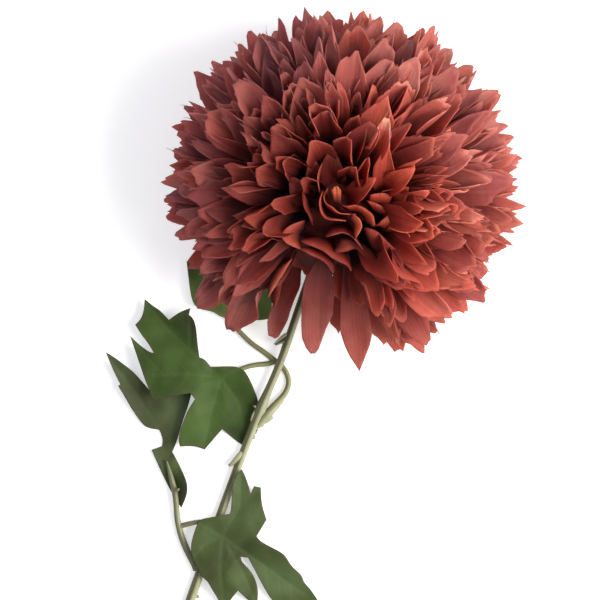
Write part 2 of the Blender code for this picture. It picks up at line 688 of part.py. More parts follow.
def tube(name, path, sizes, group, material):
    """A round bar along a path, as a mesh with welded caps."""
    curve = bpy.data.curves.new(name, "CURVE")
    curve.dimensions = "3D"
    curve.bevel_depth = MM
    curve.bevel_resolution = 2
    curve.use_fill_caps = True
    spline = curve.splines.new("POLY")
    spline.points.add(len(path) - 1)
    for point, place, size in zip(spline.points, path, sizes):
        point.co = (*to_row(place), 1.0)
        point.radius = size
    item = bpy.data.objects.new(name + "_curve", curve)
    group.objects.link(item)
    bpy.context.view_layer.update()
    graph = bpy.context.evaluated_depsgraph_get()
    mesh = bpy.data.meshes.new_from_object(item.evaluated_get(graph))
    bpy.data.objects.remove(item, do_unlink=True)
    build = bmesh.new()
    build.from_mesh(mesh)
    bmesh.ops.remove_doubles(build, verts=build.verts, dist=0.00001)
    bmesh.ops.recalc_face_normals(build, faces=build.faces)
    build.to_mesh(mesh)
    build.free()
    mesh.materials.clear()
    mesh.materials.append(material)
    solid = bpy.data.objects.new(name, mesh)
    group.objects.link(solid)
    return solid


def grid_places(places):
    return [Vector((*from_grid(u, v), height)) for u, v, height in places]


def stub(name, foot, tip, foot_radius, tip_radius, group, material):
    path = grid_places((foot, tip))
    return tube(name, path, (foot_radius, tip_radius), group, material)


def make_stem(group):
    """The main stem: a bend below the calyx, a long run to the cut end, and its stubs."""
    material = make_material("stem", STEM_COLOUR, 0.5)
    placement = bloom_placement()
    end = placement @ Vector((0, 0, -STEM_TOP_DROP))
    top = placement @ Vector((0, 0, -STEM_TOP_DROP - STEM_TOP_STRAIGHT))
    knee = placement @ Vector((0, 0, -STEM_TOP_DROP - STEM_TOP_PULL))
    run = grid_places([place for place, _ in STEM_RUN])
    radii = [radius for _, radius in STEM_RUN]
    bend = [end]
    for piece in range(5):
        t = piece / 5
        bend.append(top * (1 - t) ** 2 + knee * 2 * t * (1 - t) + run[0] * t * t)
    path, sizes = smooth_path(bend + run, [radii[0]] * len(bend) + radii, STEM_STEP)
    stem = tube("stem", path, sizes, group, material)
    stubs = new_collection("stubs")
    for index, (foot, tip, foot_radius, tip_radius) in enumerate(STEM_STUBS):
        stub("stub_%d" % index, foot, tip, foot_radius, tip_radius, stubs, material)
    return fuse(stem, stubs)


def make_side_shoot(group):
    """The forked shoot that passes behind the stem."""
    material = make_material("side_shoot", SHOOT_COLOUR, 0.5)
    path, sizes = smooth_path(grid_places(SHOOT_MAIN), SHOOT_MAIN_RADII, SHOOT_STEP)
    shoot = tube("side_shoot", path, sizes, group, material)
    forks = new_collection("forks")
    path, sizes = smooth_path(grid_places(SHOOT_FORK), SHOOT_FORK_RADII, SHOOT_STEP)
    tube("fork", path, sizes, forks, material)
    return fuse(shoot, forks)


def make_side_branch(group):
    """The branch at the left with its petiole and a bud scale."""
    material = make_material("side_branch", SHOOT_COLOUR, 0.5)
    path, sizes = smooth_path(grid_places(BRANCH_MAIN), BRANCH_MAIN_RADII, BRANCH_STEP)
    branch = tube("side_branch", path, sizes, group, material)
    twigs = new_collection("twigs")
    path, sizes = smooth_path(grid_places(BRANCH_PETIOLE), BRANCH_PETIOLE_RADII, BRANCH_STEP)
    tube("petiole", path, sizes, twigs, material)
    foot, tip, foot_radius, tip_radius = BRANCH_BUD
    stub("bud", foot, tip, foot_radius, tip_radius, twigs, material)
    return fuse(branch, twigs)


# Leaves


def distance_to_segment(point, start, end):
    span = end - start
    along = max(0.0, min(1.0, (point - start).dot(span) / span.length_squared))
    return (point - start - span * along).length


def distance_to_veins(point, veins):
    """Grid distance from a place to the nearest vein."""
    nearest = VEIN_REACH
    for vein in veins:
        for start, end in zip(vein, vein[1:]):
            nearest = min(nearest, distance_to_segment(point, Vector(start), Vector(end)))
    return nearest


def leaf_height(point, shape):
    """Height of a leaf's underside: a smooth sheet over its posts, folded up between veins."""
    total = 0.0
    weights = 0.0
    for u, v, height in shape["posts"]:
        weight = 1.0 / ((point.x - u) ** 2 + (point.y - v) ** 2 + 14.0) ** 1.7
        total += weight * height
        weights += weight
    sheet = total / weights
    fold = VEIN_FOLD * (0.3 + 0.7 * smooth_step(sheet, 0.2, 1.8))
    fold *= math.sin(math.pi / 2 * distance_to_veins(point, shape["veins"]) / VEIN_REACH)
    return max(0.0, sheet + fold - VEIN_DIP)


def outline_distance(point, outline):
    return min(distance_to_segment(point, a, b) for a, b in zip(outline, outline[1:] + outline[:1]))


def leaf_grid(shape):
    """Places of a leaf's mesh: its outline, then its veins and a staggered grid inside it."""
    outline = [Vector(point) for point in shape["outline"]]
    wanted = []
    for vein in shape["veins"]:
        for start, end in zip(vein, vein[1:]):
            span = Vector(end) - Vector(start)
            pieces = max(1, round(span.length / LEAF_CELL))
            wanted += [Vector(start) + span * piece / pieces for piece in range(pieces + 1)]
    low_u = min(point.x for point in outline)
    low_v = min(point.y for point in outline)
    rows = math.ceil((max(point.y for point in outline) - low_v) / (LEAF_CELL * ROW_SHARE))
    columns = math.ceil((max(point.x for point in outline) - low_u) / LEAF_CELL)
    for row in range(rows):
        for column in range(columns):
            u = low_u + LEAF_CELL * (column + 0.5 * (row % 2))
            wanted.append(Vector((u, low_v + LEAF_CELL * ROW_SHARE * row)))
    inside = []
    for point in wanted:
        apart = min([(point - other).length for other in inside] + [LEAF_CELL])
        clear = outline_distance(point, outline)
        if apart > 0.5 * LEAF_CELL and clear > 0.3 * LEAF_CELL and inside_outline(point, outline):
            inside.append(point)
    return outline, inside


def inside_outline(point, outline):
    crossings = 0
    for a, b in zip(outline, outline[1:] + outline[:1]):
        if (a.y > point.y) != (b.y > point.y):
            if point.x < a.x + (point.y - a.y) / (b.y - a.y) * (b.x - a.x):
                crossings += 1
    return crossings % 2 == 1


def make_leaf(name, shape, group, material):
    """One leaf: a triangulated sheet, the same on both faces, with a wall round its outline."""
    outline, inside = leaf_grid(shape)
    count = len(outline)
    edges = [(index, (index + 1) % count) for index in range(count)]
    border = [tuple(range(count))]
    sheet = geometry.delaunay_2d_cdt(outline + inside, edges, border, 1, 0.001)
    places, triangles = sheet[0], sheet[2]
    total = len(places)
    points = []
    for lift in (LEAF_THICKNESS, 0.0):
        for place in places:
            points.append(Vector((*from_grid(place.x, place.y), leaf_height(place, shape) + lift)))
    faces = []
    sides = []
    for a, b, c in triangles:
        faces += [(a, b, c), (a + total, c + total, b + total)]
        sides += [(a, b), (b, c), (c, a)]
    for start, end in sides:
        if (end, start) not in sides:
            faces.append((start, start + total, end + total, end))
    return add_mesh(name, points, faces, group, material)


def make_leaves(group):
    material = make_material("leaves", LEAF_COLOUR, 0.6)
    for name, shape in LEAVES.items():
        make_leaf(name, shape, group, material)


def main():
    clear_scene()
    group = new_collection("chrysanthemum")
    make_bloom(group)
    make_calyx(group)
    make_stem(group)
    make_side_shoot(group)
    make_side_branch(group)
    make_leaves(group)


main()
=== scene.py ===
"""Looks of the artificial ball chrysanthemum: fine fabric petals and leaves, moulded stems.

Shapes are worked out in millimetres on a plan round the point below the bloom's centre,
the same plan that the solids use, and are placed in the row frame in metres.
"""
import math
import random

import bmesh
import bpy
import numpy as np
from mathutils import Matrix, Vector, kdtree, noise as noise_field

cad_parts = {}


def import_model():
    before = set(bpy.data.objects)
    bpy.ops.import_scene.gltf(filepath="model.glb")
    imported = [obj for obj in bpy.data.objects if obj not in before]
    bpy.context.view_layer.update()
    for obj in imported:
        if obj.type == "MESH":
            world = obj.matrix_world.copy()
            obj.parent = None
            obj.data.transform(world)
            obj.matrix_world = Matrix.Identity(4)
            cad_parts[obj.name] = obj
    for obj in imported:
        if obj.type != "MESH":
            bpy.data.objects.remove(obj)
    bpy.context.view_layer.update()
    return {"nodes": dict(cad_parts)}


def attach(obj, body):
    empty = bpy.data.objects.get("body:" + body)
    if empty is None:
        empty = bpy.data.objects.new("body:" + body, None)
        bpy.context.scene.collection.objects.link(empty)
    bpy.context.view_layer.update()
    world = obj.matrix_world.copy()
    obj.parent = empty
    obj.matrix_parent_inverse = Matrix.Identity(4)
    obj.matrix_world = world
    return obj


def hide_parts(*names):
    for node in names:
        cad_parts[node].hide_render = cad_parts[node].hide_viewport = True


MM = 0.001
UP = Vector((0, 0, 1))
BLOOM_AT = (33.7, 149.9)

# Camera: plan point it looks down on, height over the surface, the width its frame spans per metre,
# and the frame's pixels across with its middle pixel
VIEW_AT = (-16.8, -45.2)
VIEW_HEIGHT = 1235.0
VIEW_SHARE = 0.2
FRAME_PIXELS = 600.0
FRAME_MIDDLE = 300
# The leaves and stems use plan places as they show on the surface: millimetres to a pixel there
GRID = 0.41

# Bloom, as in the solids
BALL_RADIUS = 72.0
CROWN_HEIGHT = 52.0
SKIRT_DEPTH = 58.0
BLOOM_HEIGHT = 34.0
BLOOM_TILT = math.radians(18)
BLOOM_TILT_TOWARDS = math.radians(240)
TILT_AXIS = Vector((-math.sin(BLOOM_TILT_TOWARDS), math.cos(BLOOM_TILT_TOWARDS), 0))
# Takes the plan of the open sector's petals, and of the tilted bloom's, to their places
UPRIGHT = Matrix.Translation((0, 0, BLOOM_HEIGHT))
TILTED = UPRIGHT @ Matrix.Rotation(BLOOM_TILT, 4, TILT_AXIS)
# Petals of the rule: how many, the power by which they crowd at the crown, and the lowest one's angle
PETAL_COUNT = 268
PETAL_CROWDING = 1.08
LAST_PETAL_ANGLE = math.radians(126)
GOLDEN_ANGLE = math.pi * (3 - math.sqrt(5))
PETAL_SEED = 3
# Chance values that each petal draws
CHANCES = 14
# Neighbouring petals drift and lean together over about this share of the ball
DRIFT_SHARE = 0.45
# Petal widths at the crown and further out, and how deep the crown dips within how many degrees
CROWN_WIDTH = 7.4
OUTER_WIDTH = 12.0
CROWN_DIP = 0.15
DIP_SLOPE = 18
# Degrees from the crown between which drifts set in, petals lose the crown's form, grow broad and take
# the skirt's colours
DRIFT_SLOPES = (8, 30)
INNER_SLOPES = (6, 36)
WIDTH_SLOPES = (8, 60)
OUTER_SLOPES = (20, 80)
# How far petals stray, each by itself and together with its neighbours, and how much short some fall
PLACE_JITTER = math.radians(3.6)
PLACE_DRIFT = math.radians(10)
TURN_JITTER = 0.14
TURN_DRIFT = 0.26
LEAN = math.radians(24)
LEAN_JITTER = math.radians(15)
LEAN_DRIFT = math.radians(26)
TWIST_JITTER = math.radians(32)
TWIST_DRIFT = math.radians(44)
WIDTH_JITTER = 0.24
REACH_JITTER = 0.045
REACH_LOSS = 0.05
BEND_JITTER = 3.8
CURL_JITTER = 2.2
# Share of the half width that a petal's edges rise over its middle, its jitter, and more at the crown
CUP = 0.48
CUP_JITTER = 0.20
CROWN_CUP = 0.25
# Petals at the crown stand up by this much, and lean less and twist more by these shares
CROWN_UPRIGHT = math.radians(20)
CROWN_LEAN_LOSS = 0.6
CROWN_TWIST = 0.5
CORE_RADIUS = 37.0
CORE_RISE = 31.0
CORE_DROP = 14.5
# Where petals spring from the core: how deep, at which share of their own angle, and within how many
# degrees of it
ROOT_DEPTH = 0.86
ROOT_SHARE = 0.66
ROOT_JITTER = 4

# The stem's direction in plan, and the sector round it where the bloom opens down to its lowest petals
STEM_AZIMUTH = math.radians(249.7)
OPEN_AZIMUTH = math.radians(257)
OPEN_HALF = math.radians(36)
OPEN_FROM = math.radians(28)
# The leaf below them lies between these angles beside the stem, in degrees, and from this far out, and
# the stem this far beside its own line. Petals stay this high over both, and over the surface
LEAF_FROM = (-62, -52)
LEAF_TO = (0, 4)
LEAF_OUT = (24, 32)
STEM_BESIDE = (4, 9)
OVER_LEAF = 8.5
OVER_STEM = 8
OVER_SURFACE = 0.25

# Petals of the open sector: azimuth, tip radius, tip height over the surface, width, then the slopes
# of the root and the tip in degrees from upright
SET_PETALS = (
    (219, 75, 26, 13.5, 66, 122),
    (225.5, 67.5, 24, 13, 62, 124),
    (228.4, 73, 21, 14, 58, 128),
    (240.3, 65.5, 11.5, 8.3, 84, 112),
    (255.7, 68.2, 20, 13, 52, 130),
    (269, 59.5, 12.5, 9, 84, 112),
    (275.6, 74, 20, 12.5, 60, 126),
    (286, 66, 24, 10.5, 64, 122),
    (289, 72, 17, 10.5, 82, 112),
    (296, 73.5, 22, 11, 74, 116),
    (213.5, 67, 33, 12.5, 70, 106),
    (222, 60, 34, 12, 70, 105),
    (231, 52, 37, 11, 66, 104),
    (246.5, 44, 33, 12, 58, 112),
    (246, 33, 39, 15, 54, 110),
    (271, 46, 37, 10.2, 60, 112),
    (281.3, 48.5, 40, 11, 58, 108),
    (291, 57, 34, 12, 68, 105),
    (299, 65, 29, 12, 74, 107),
)
# Their twists in degrees and how far they are cupped, in turn
SET_TWISTS = (0, 6, -5, 3, -8, 10)
SET_CUPS = (0.30, 0.42, 0.36, 0.50)
RESTING_PETALS = (8, 52, 98, 143, 186, 306, 338)
RESTING_RADIUS = 50.0
RESTING_WIDTH = 12.0
RESTING_ROOT = math.radians(108)
RESTING_ROOT_LIFT = math.radians(44)
RESTING_TIP = math.radians(100)
RESTING_PRESS = 8.0

# How much nearer to their tips' colour the set petals start, and what some of them have of their own:
# the tip's depth, how blunt it is and how far it lies to one side, how broad the petal stays towards
# its root, how far it bends sideways, the folded edge with the places between which it is folded, and
# a reach that its colour doesn't go by
# Set petals start nearer their tips' colour, so with less painted shade at their roots
SET_SHADE = 0.30
SET_FORMS = {
    0: {"roll": (1, 0.40, 0.85)},
    2: {"tip": (0.32, 2.1, -0.35), "broad": 0.3, "bend": 6, "roll": (1, 0.34, 0.72)},
    3: {"tip": (0.30, 2.2, -0.20), "broad": 1.4, "bend": 6.8, "tip_radius": 66.5},
    4: {"tip": (0.46, 1.30, -0.36), "broad": 0.8, "bend": 8.3},
    6: {"tip": (0.36, 1.6, 0), "shade": 0.45},
    11: {"roll": (1, 0.45, 0.90)},
    13: {"broad": 0.9, "tip_radius": 38.5},
    14: {"broad": 0.8},
}
# Tip radii between which they take the skirt's colours
SET_OUTER_RADII = (40, 66)
# This many more set petals gave way to the whorl. Their chances are drawn all the same, before those of
# the resting petals
SET_SKIPPED = 8
# Folded edges: where across a petal the fold lies, how far the flap turns back, how high it rises, over
# which length the fold starts and ends, and where it lies on petals that fold by chance
ROLL_AT = 0.45
ROLL_BACK = 1.6
ROLL_RISE = 0.8
ROLL_RUN = 0.2
ROLL_BY_CHANCE = (0.45, 1.10)

# Petals of the rule that reach a little less far out than it says
TRIMS = {106: 0.98, 116: 0.97, 151: 0.975, 161: 0.95, 171: 0.97}

# Petals whose cut tips are frayed and carry a painted highlight, and by how much, from where along them,
# with more threads
HIGHLIGHTED_TIPS = {35: 1.0, 46: 0.85, 49: 0.5, 63: 1.0, 69: 0.6, 77: 0.5, 125: 0.6}
TIP_HIGHLIGHT_FROM = 0.83
HIGHLIGHTED_TIP_THREADS = 7

# Fine petals: what their points hold for the material, rows along, columns across, fabric thickness
POINT_VALUES = ("along", "across", "chance", "outer", "painted_glow")
PETAL_ROWS = 14
PETAL_COLUMNS = 10
FABRIC = 0.3

# Smaller petals that fill the gaps between those of the solids: their seed, rows and columns, size
# against the petals beside them, and how far they are turned aside and twisted
BETWEEN_SEED = 8
BETWEEN_GRID = (10, 7)
BETWEEN_WIDTHS = (0.74, 0.58)
BETWEEN_REACH = (0.88, 1.00)
BETWEEN_TURNS = (0.10, -0.15)
BETWEEN_TWIST = 1.5
# They start this far from the crown, where the petals of the solids are broadened by this share
BETWEEN_FROM = 0.12
CROWN_BROAD = 0.30

# Petals under the bloom, between the resting ones: how many in turn, from where to where round it, the
# reach of their tips and their tips' heights over the surface, both from least to most
UNDER_COUNT = 46
UNDER_FROM = math.radians(298)
UNDER_TO = math.radians(578)
UNDER_REACH = (50.0, 63.0)
UNDER_HEIGHTS = (0.5, 11.0)

# The bloom's whorl. Petals of the rule whose tips fall in these ellipses, in pixels, give way to it, or
# to a listed petal. It has ribbons that stand on edge, folds that show a face, and standing petals
WHORL = (329, 212)
WHORL_CLEARED = (((338, 221), (50, 56)), ((328, 252), (60, 38)), ((417, 161), (5, 5)))
# Ribbons: their top edges in pixels, height of the top edge over the surface, and how far their foot
# leans towards the whorl's centre
RIBBONS = (
    (((323.6, 193.9), (321.6, 204.6), (327, 215.6), (343.2, 219.2)), 79, 0.30),
    (((328, 190.4), (324.8, 198.4), (327.1, 206.2), (336.1, 212.7), (353, 213.8)), 78, 0.30),
    (((323.6, 163.6), (319.6, 173.4), (318.7, 183.2), (320.9, 194.5)), 77, 0.25),
)
RIBBON_STEP = 1.1
RIBBON_ROWS = 9
RIBBON_DEPTH = 20
# Folds: the free edge and the inner edge of the face in pixels, each with the heights of its two ends,
# then how light the face is painted, as lit or shaded, and how far painted light shining through it
# reaches. The last two aren't at the whorl: the folded edge of the large petal at the open sector's left,
# and the petal beside it
FOLDS = (
    (((331.4, 190), (336.8, 186), (340.8, 190.5)), (80, 80),
     ((332.6, 202), (337, 203.5), (341.8, 205)), (76, 76), 0.9, 0.8),
    (((353, 213.6), (359.8, 219.6), (361.8, 226), (359.6, 232), (355.9, 238.5)), (77.5, 74),
     ((346, 216.5), (351.5, 220.5), (354, 226), (353.6, 232), (353.6, 238)), (71, 70), 0.9, 0.7),
    (((341.2, 204), (346, 206.2), (354.8, 204.8), (364.6, 208.2), (373, 215.4), (375.2, 225.6)), (76.5, 74),
     ((342.5, 207.5), (348, 210.6), (355, 211.2), (361.4, 214.8), (364.4, 221), (366, 229)),
     (73, 70), 0.6, 0.40),
    (((326.6, 237), (336, 234.2), (343, 232.8), (351, 236), (356, 241), (363.8, 250.6)), (71, 68),
     ((322, 229), (334, 225), (343, 224), (351, 227), (355, 234), (360, 241)),
     (63, 62), 0.2, 0),
    (((335, 252.6), (346, 251.4), (355, 248.6), (361, 253.2), (367.3, 265.4), (378.6, 279.6),
      (385, 272), (386, 261)), (65, 58),
     ((329, 241), (340, 239), (350, 240), (360, 243), (368, 248), (375, 253),
      (380, 254), (383, 252)), (67, 66), 0.5, 0.08),
    (((302.4, 191.6), (302.8, 200), (304.2, 208), (308.8, 216), (312.6, 225)), (75, 70),
     ((306.6, 193), (307.6, 200), (309.6, 206), (312.6, 214), (313.8, 225)), (74, 69), 0.7, 0.25),
    (((304.5, 220), (292, 224.4), (284, 230.4), (281.6, 236), (284.8, 241.8), (291, 245.6),
      (299.6, 248.6)), (68, 64),
     ((309, 226), (303.5, 228.4), (300, 232.4), (299.4, 236.4), (300.4, 240), (303, 242),
      (306, 244.6)), (63, 61), 1, 0.22),
    (((300.6, 241.2), (313, 246.6), (323.6, 251.2), (332.5, 258.2), (346.8, 265.6), (351, 271.4)), (66.5, 62),
     ((308, 231), (319, 236), (330, 242), (338, 248), (349, 257), (355, 263)),
     (61, 60), 0.4, 0),
    (((299.6, 248.4), (310, 254.6), (320, 259.2), (327, 264.6), (332.5, 272.6)), (63, 57),
     ((303, 243.5), (314, 249), (325, 254), (333, 261), (341, 268)), (60, 56), 0.4, 0),
    (((364.6, 227), (377, 231.4), (388.8, 243), (400, 253), (411, 261.5)), (71, 62),
     ((364.6, 249.3), (378, 253), (390, 256), (400, 259), (411, 262.5)), (66, 61), 0.3, 0),
    (((375.4, 226), (386, 217), (397.7, 210), (410, 206.6), (420, 214)), (71, 65),
     ((375.4, 227), (386, 230.5), (397.7, 235), (409, 235), (420, 222)), (69, 63), 0.6, 0.40),
    (((369, 195), (381.6, 193), (392, 194.8)), (73.5, 70),
     ((366, 203), (379, 206), (392, 206)), (69, 67), 0.5, 0.10),
    (((366.4, 200), (379, 204.6), (391.4, 210)), (73, 69.5),
     ((370, 209), (380, 214), (390, 217)), (68, 66), 0.4, 0.10),
    (((292, 258.5), (284.5, 271.5), (276.4, 284.6), (268, 297.5)), (55, 42),
     ((289, 259), (278, 268.5), (270.5, 281), (266, 296)), (54, 41), 1, 0.22),
    (((281.5, 278), (280.5, 290), (278, 300), (274.6, 307)), (34, 26),
     ((275.5, 279), (272, 288), (271.2, 297), (272.2, 306.5)), (33, 25), 0.4, 0),
)
FOLD_POINTS = 26
FOLD_ROWS = 8
# How far a fold's inner edge drops into the dark, how high its face bulges, how far its ends sink
FOLD_DROP = 9.0
FOLD_BULGE = 0.8
FOLD_SINK = 3.0

# Petals that stand in the whorl: pixel of the foot, pixel of the tip, tip height, width and how light it
# is painted, as lit or shaded
SLIPS = (
    ((334, 194), (331.5, 147), 76, 10.5, 0.25),
    ((318, 210), (290, 177), 72, 11.5, 0.15),
    ((316, 198), (309, 158), 74, 8.5, 0.2),
    ((342, 204), (376, 177), 77, 8.2, 0.75),
    ((384, 200), (389, 146), 80, 10, 0.5),
    ((378, 194), (415, 167), 81, 8.5, 0.85),
    ((380, 204), (409, 187), 74, 10, 0.35),
)
SLIP_DEPTH = 24.0

# Frayed threads at some petal tips
THREADS = 90
THREAD_SEED = 11
THREAD_WIDTH = 0.28
THREAD_LENGTHS = (1.5, 4.5)
THREAD_STEPS = 4

# The core as it shows between the petals: rings, sides, share of the solid's size, where it ends
# below the widest ring as a share of a quarter turn, and its place in the petals' colours
CORE_RINGS = 12
CORE_SIDES = 40
CORE_SHARE = 0.97
CORE_BELOW = 0.45
# Its place in the petals' colours gives the core the painted shade of their roots
CORE_VALUES = {"along": 0.52, "across": 0.0, "chance": 0.5, "outer": 0.5, "painted_glow": 0.0}

# Petal colours from root to tip, at the crown and at the skirt: the dye's own colour towards the tips,
# and painted shade, near black, towards the roots where the petals crowd
CROWN_COLOURS = ((0.34, (0.009, 0.001, 0.001)), (0.66, (0.175, 0.02, 0.013)), (1, (0.37, 0.078, 0.05)))
SKIRT_COLOURS = ((0.32, (0.04, 0.008, 0.008)), (0.62, (0.2, 0.045, 0.039)), (1, (0.36, 0.122, 0.106)))
# Painted light shining through the fabric
PAINTED_GLOW_COLOUR = (0.56, 0.125, 0.050)
# Painted highlight on the petals' edges
RIM_HIGHLIGHT_COLOUR = (0.70, 0.30, 0.22)
# Painted highlight on frayed cut tips
TIP_HIGHLIGHT_COLOUR = (0.52, 0.235, 0.180)
# How the dye differs from petal to petal, in patches and in streaks. The tones also carry painted light
# and shade: lighter on rolled flaps and on lit folds and standing petals, darker on shaded ones
TONES_AND_PAINTED_LIGHT = (
    (0, (0.70, 0.72, 0.84)), (0.4, (0.98, 0.98, 1)), (0.87, (1.12, 1.08, 1)), (0.97, (1.48, 1.80, 1.85)),
)
PATCHES = ((0.3, (0.82, 0.72, 0.76)), (0.5, (1.02, 0.96, 0.96)), (0.7, (1.06, 1.26, 1.20)))
STREAKS = ((0.32, (0.90, 0.86, 0.87)), (0.68, (1.08, 1.10, 1.10)))
# Painted light and shade: how the petals' colour is lightened, darkened and tinted over the bloom as the
# light falls on it, along two directions in plan
PAINTED_LIGHT_DRIFTS = (
    ((0.97, 0.20, 0), (
        (0.0, (1.06, 1.12, 1.24)),
        (0.27, (0.84, 0.80, 0.84)),
        (0.45, (0.90, 0.84, 0.86)),
        (0.64, (1.52, 1.22, 1.06)),
        (1.0, (1.20, 1.04, 0.96)),
    )),
    ((0.25, 0.97, 0), (
        (0.05, (0.84, 0.74, 0.68)),
        (0.30, (0.90, 0.83, 0.84)),
        (0.50, (0.96, 0.93, 0.95)),
        (0.70, (1.10, 1.22, 1.32)),
        (0.88, (0.86, 1.02, 1.12)),
    )),
)
LEAF_GREENS = ((0.34, (0.02, 0.036, 0.005)), (0.5, (0.031, 0.064, 0.009)), (0.68, (0.054, 0.098, 0.017)))
LEAF_GREYS = ((0.32, (0.046, 0.05, 0.02)), (0.52, (0.068, 0.088, 0.036)), (0.7, (0.098, 0.13, 0.062)))
VEIN_COLOUR = (0.13, 0.19, 0.075)
CUT_COLOUR = (0.085, 0.070, 0.045)
# Colours of the moulded pieces, with painted light and shade: pale on the sides that face the light on
# the right, dark on those turned to the left, and their own middle colour between
STEM_LIT_AND_SHADED_COLOURS = {
    "stem": ((0.38, 0.395, 0.235), (0.195, 0.205, 0.098), (0.085, 0.082, 0.030)),
    "calyx": ((0.195, 0.205, 0.098), (0.17, 0.22, 0.09), (0.085, 0.082, 0.030)),
    "side_shoot": ((0.27, 0.285, 0.135), (0.190, 0.190, 0.078), (0.11, 0.10, 0.035)),
    "side_branch": ((0.28, 0.31, 0.18), (0.185, 0.195, 0.095), (0.10, 0.10, 0.045)),
}
STREAK_COLOUR = (0.150, 0.105, 0.055)
# Painted shade in the stem's groove
GROOVE_SHADE_COLOUR = (0.045, 0.042, 0.014)

# Fine leaves and stems are rounded from the solids. Points closer than this are joined, in metres, and
# triangles that lie flatter together than this. Edges sharper than these stay
WELD = 0.000005
FLAT = math.radians(20)
LEAF_CREASE = math.radians(50)
STEM_CREASE = math.radians(62)
LEAF_LEVELS = 3
STEM_LEVELS = 2
# Height of a leaf's soft waves, and how deep its main and side veins are sunk in
LEAF_WAVE = 0.35
VEIN_DEPTH = 0.16
TWIG_DEPTH = 0.08
# Main veins' width, side veins' spacing and width and how far they run, in grid steps
VEIN_WIDTH = 2.0
TWIG_STEP = 15.0
TWIG_WIDTH = 1.2
TWIG_REACH = 26.0
# The cut edge is where normals rise less than this. How far its brown reaches in
CUT_STEEP = 0.55
CUT_WIDTH = 0.7
# The stem's groove: its depth, place across and width; how far stems swell over their solids' facets
GROOVE_DEPTH = 0.30
GROOVE_AT = -0.32
GROOVE_WIDTH = 0.17
STEM_SWELL = 0.2
# Where the side branch thins out on its leaf and at its foot, over how many grid steps and by how much,
# and how far the foot is drawn on to lie against the stem
BRANCH_END = (166.5, 459)
BRANCH_TAPER = 13.0
BRANCH_THINNED = 0.75
BRANCH_FOOT = (193, 566)
FOOT_REACH = 9.0
FOOT_SHIFT = (1.2, -2.4, 0)
FOOT_THINNED = 0.6
# Moulded scales, stubs and the sheath of the side shoot: grid places with heights and radii, and how
# pale they are
STEM_BARS = (
    (((286.5, 334, 5, 0.8), (281, 338, 5.6, 0.65), (273.8, 344.3, 5.9, 0.25)), 1),
    (((242.5, 452.5, 3, 1.3), (237, 458.5, 3.5, 1.25), (229.5, 466, 3.8, 0.55)), 0.9),
    (((282.5, 399, 2.2, 1.2), (276, 405.8, 2.8, 1.6), (270, 412, 3.4, 2),
      (264.5, 418, 3.4, 2), (258.5, 425.5, 3.3, 1.5)), 0.2),
    (((272, 415.5, 3.6, 1.3), (268.5, 418.8, 3.6, 1.4), (263, 422.5, 3.4, 1.2),
      (257.5, 427.5, 3.3, 1)), 1),
    (((256.5, 410, 4, 0.7), (253.6, 415, 4, 0.8), (251.5, 421.5, 3.8, 0.7)), 0.9),
    (((255.5, 427.5, 3.2, 1), (257.8, 431.5, 3.1, 0.6)), 0.3),
    (((252.5, 435.5, 3.1, 1.2), (254, 439.5, 3, 0.6)), 0.3),
)
BAR_SIDES = 12
BAR_STEP = 0.6

# Leaves: how grey each one is and how much painted light it gets, its main veins on the plan grid, and
# its areas of painted shade and painted light by grid place, radius and share
LEAVES = {
    "leaf_upper": (0.12, 1.12, (
        ((241, 368.5), (222, 378), (190, 374), (155, 375.5)),
        ((222, 378), (190, 350), (165, 325), (146, 303)),
        ((190, 350), (191, 330), (190, 312)),
        ((165, 375), (148, 358), (133, 339)),
        ((222, 378), (213, 408), (204, 446)),
        ((222, 378), (240, 405), (245, 438)),
    ), (
        ((173, 392), 15, -0.40),
        ((207, 380), 12, 0.20),
        ((184, 330), 18, -0.25),
        ((141, 358), 14, -0.28),
        ((196, 426), 20, 0.08),
        ((254, 397), 9, -0.05),
    )),
    "leaf_hidden": (0.30, 3.0, (
        ((239, 329.5), (230, 300), (216, 262)),
        ((234, 313), (252, 300), (270, 288)),
    ), (((192, 270), 18, -0.55),)),
    "leaf_side": (0.9, 1.0, (
        ((167, 462), (158, 428), (135, 392), (108, 355)),
        ((167, 462), (171, 430), (178, 396)),
        ((167, 462), (172.5, 477), (178.5, 499)),
    ), (
        ((174, 420), 14, 0.30),
        ((178, 465), 8, 1.10),
        ((158, 405), 10, -0.15),
    )),
    "leaf_lower": (0.55, 1.12, (
        ((198.5, 522), (223, 536), (262, 564), (306, 596)),
        ((223, 536), (240, 508), (241, 474)),
        ((223, 536), (221, 570), (224, 606)),
        ((223, 536), (205, 545), (195, 556)),
        ((228, 545), (244, 575), (256, 602)),
    ), (
        ((222, 527), 11, -0.18),
        ((226, 574), 12, 0.30),
        ((206, 545), 12, 0.12),
        ((250, 545), 10, -0.15),
    )),
}

# Lights: place from the point that they shine at, in metres, size, power and colour, then how high
# that point lies, in millimetres
LIGHTS = {
    "key": ((0.64, -0.12, 0.66), 0.6, 11.8, (1.0, 0.96, 0.93)),
    "fill": ((-0.60, 0.45, 0.70), 0.9, 2.5, (0.84, 0.84, 1.0)),
}
LIT_HEIGHT = 30
# The sky's light
SKY_COLOUR = (0.97, 0.98, 1.0, 1.0)
SKY_STRENGTH = 0.44
# Half the floor's width in metres, and the camera's sensor in millimetres
FLOOR_HALF = 3
SENSOR = 36


def smooth_step(value, low, high):
    """From 0 at low to 1 at high, with soft ends."""
    share = min(1.0, max(0.0, (value - low) / (high - low)))
    return share * share * (3 - 2 * share)


def turn_from(angle, reference):
    """How far an angle lies from another, the shorter way round."""
    return (angle - reference + math.pi) % (2 * math.pi) - math.pi


def to_row(point):
    """Place in the row frame, in metres, of a plan point in millimetres."""
    return Vector(((point[0] + BLOOM_AT[0]) * MM, (point[1] + BLOOM_AT[1]) * MM, point[2] * MM))


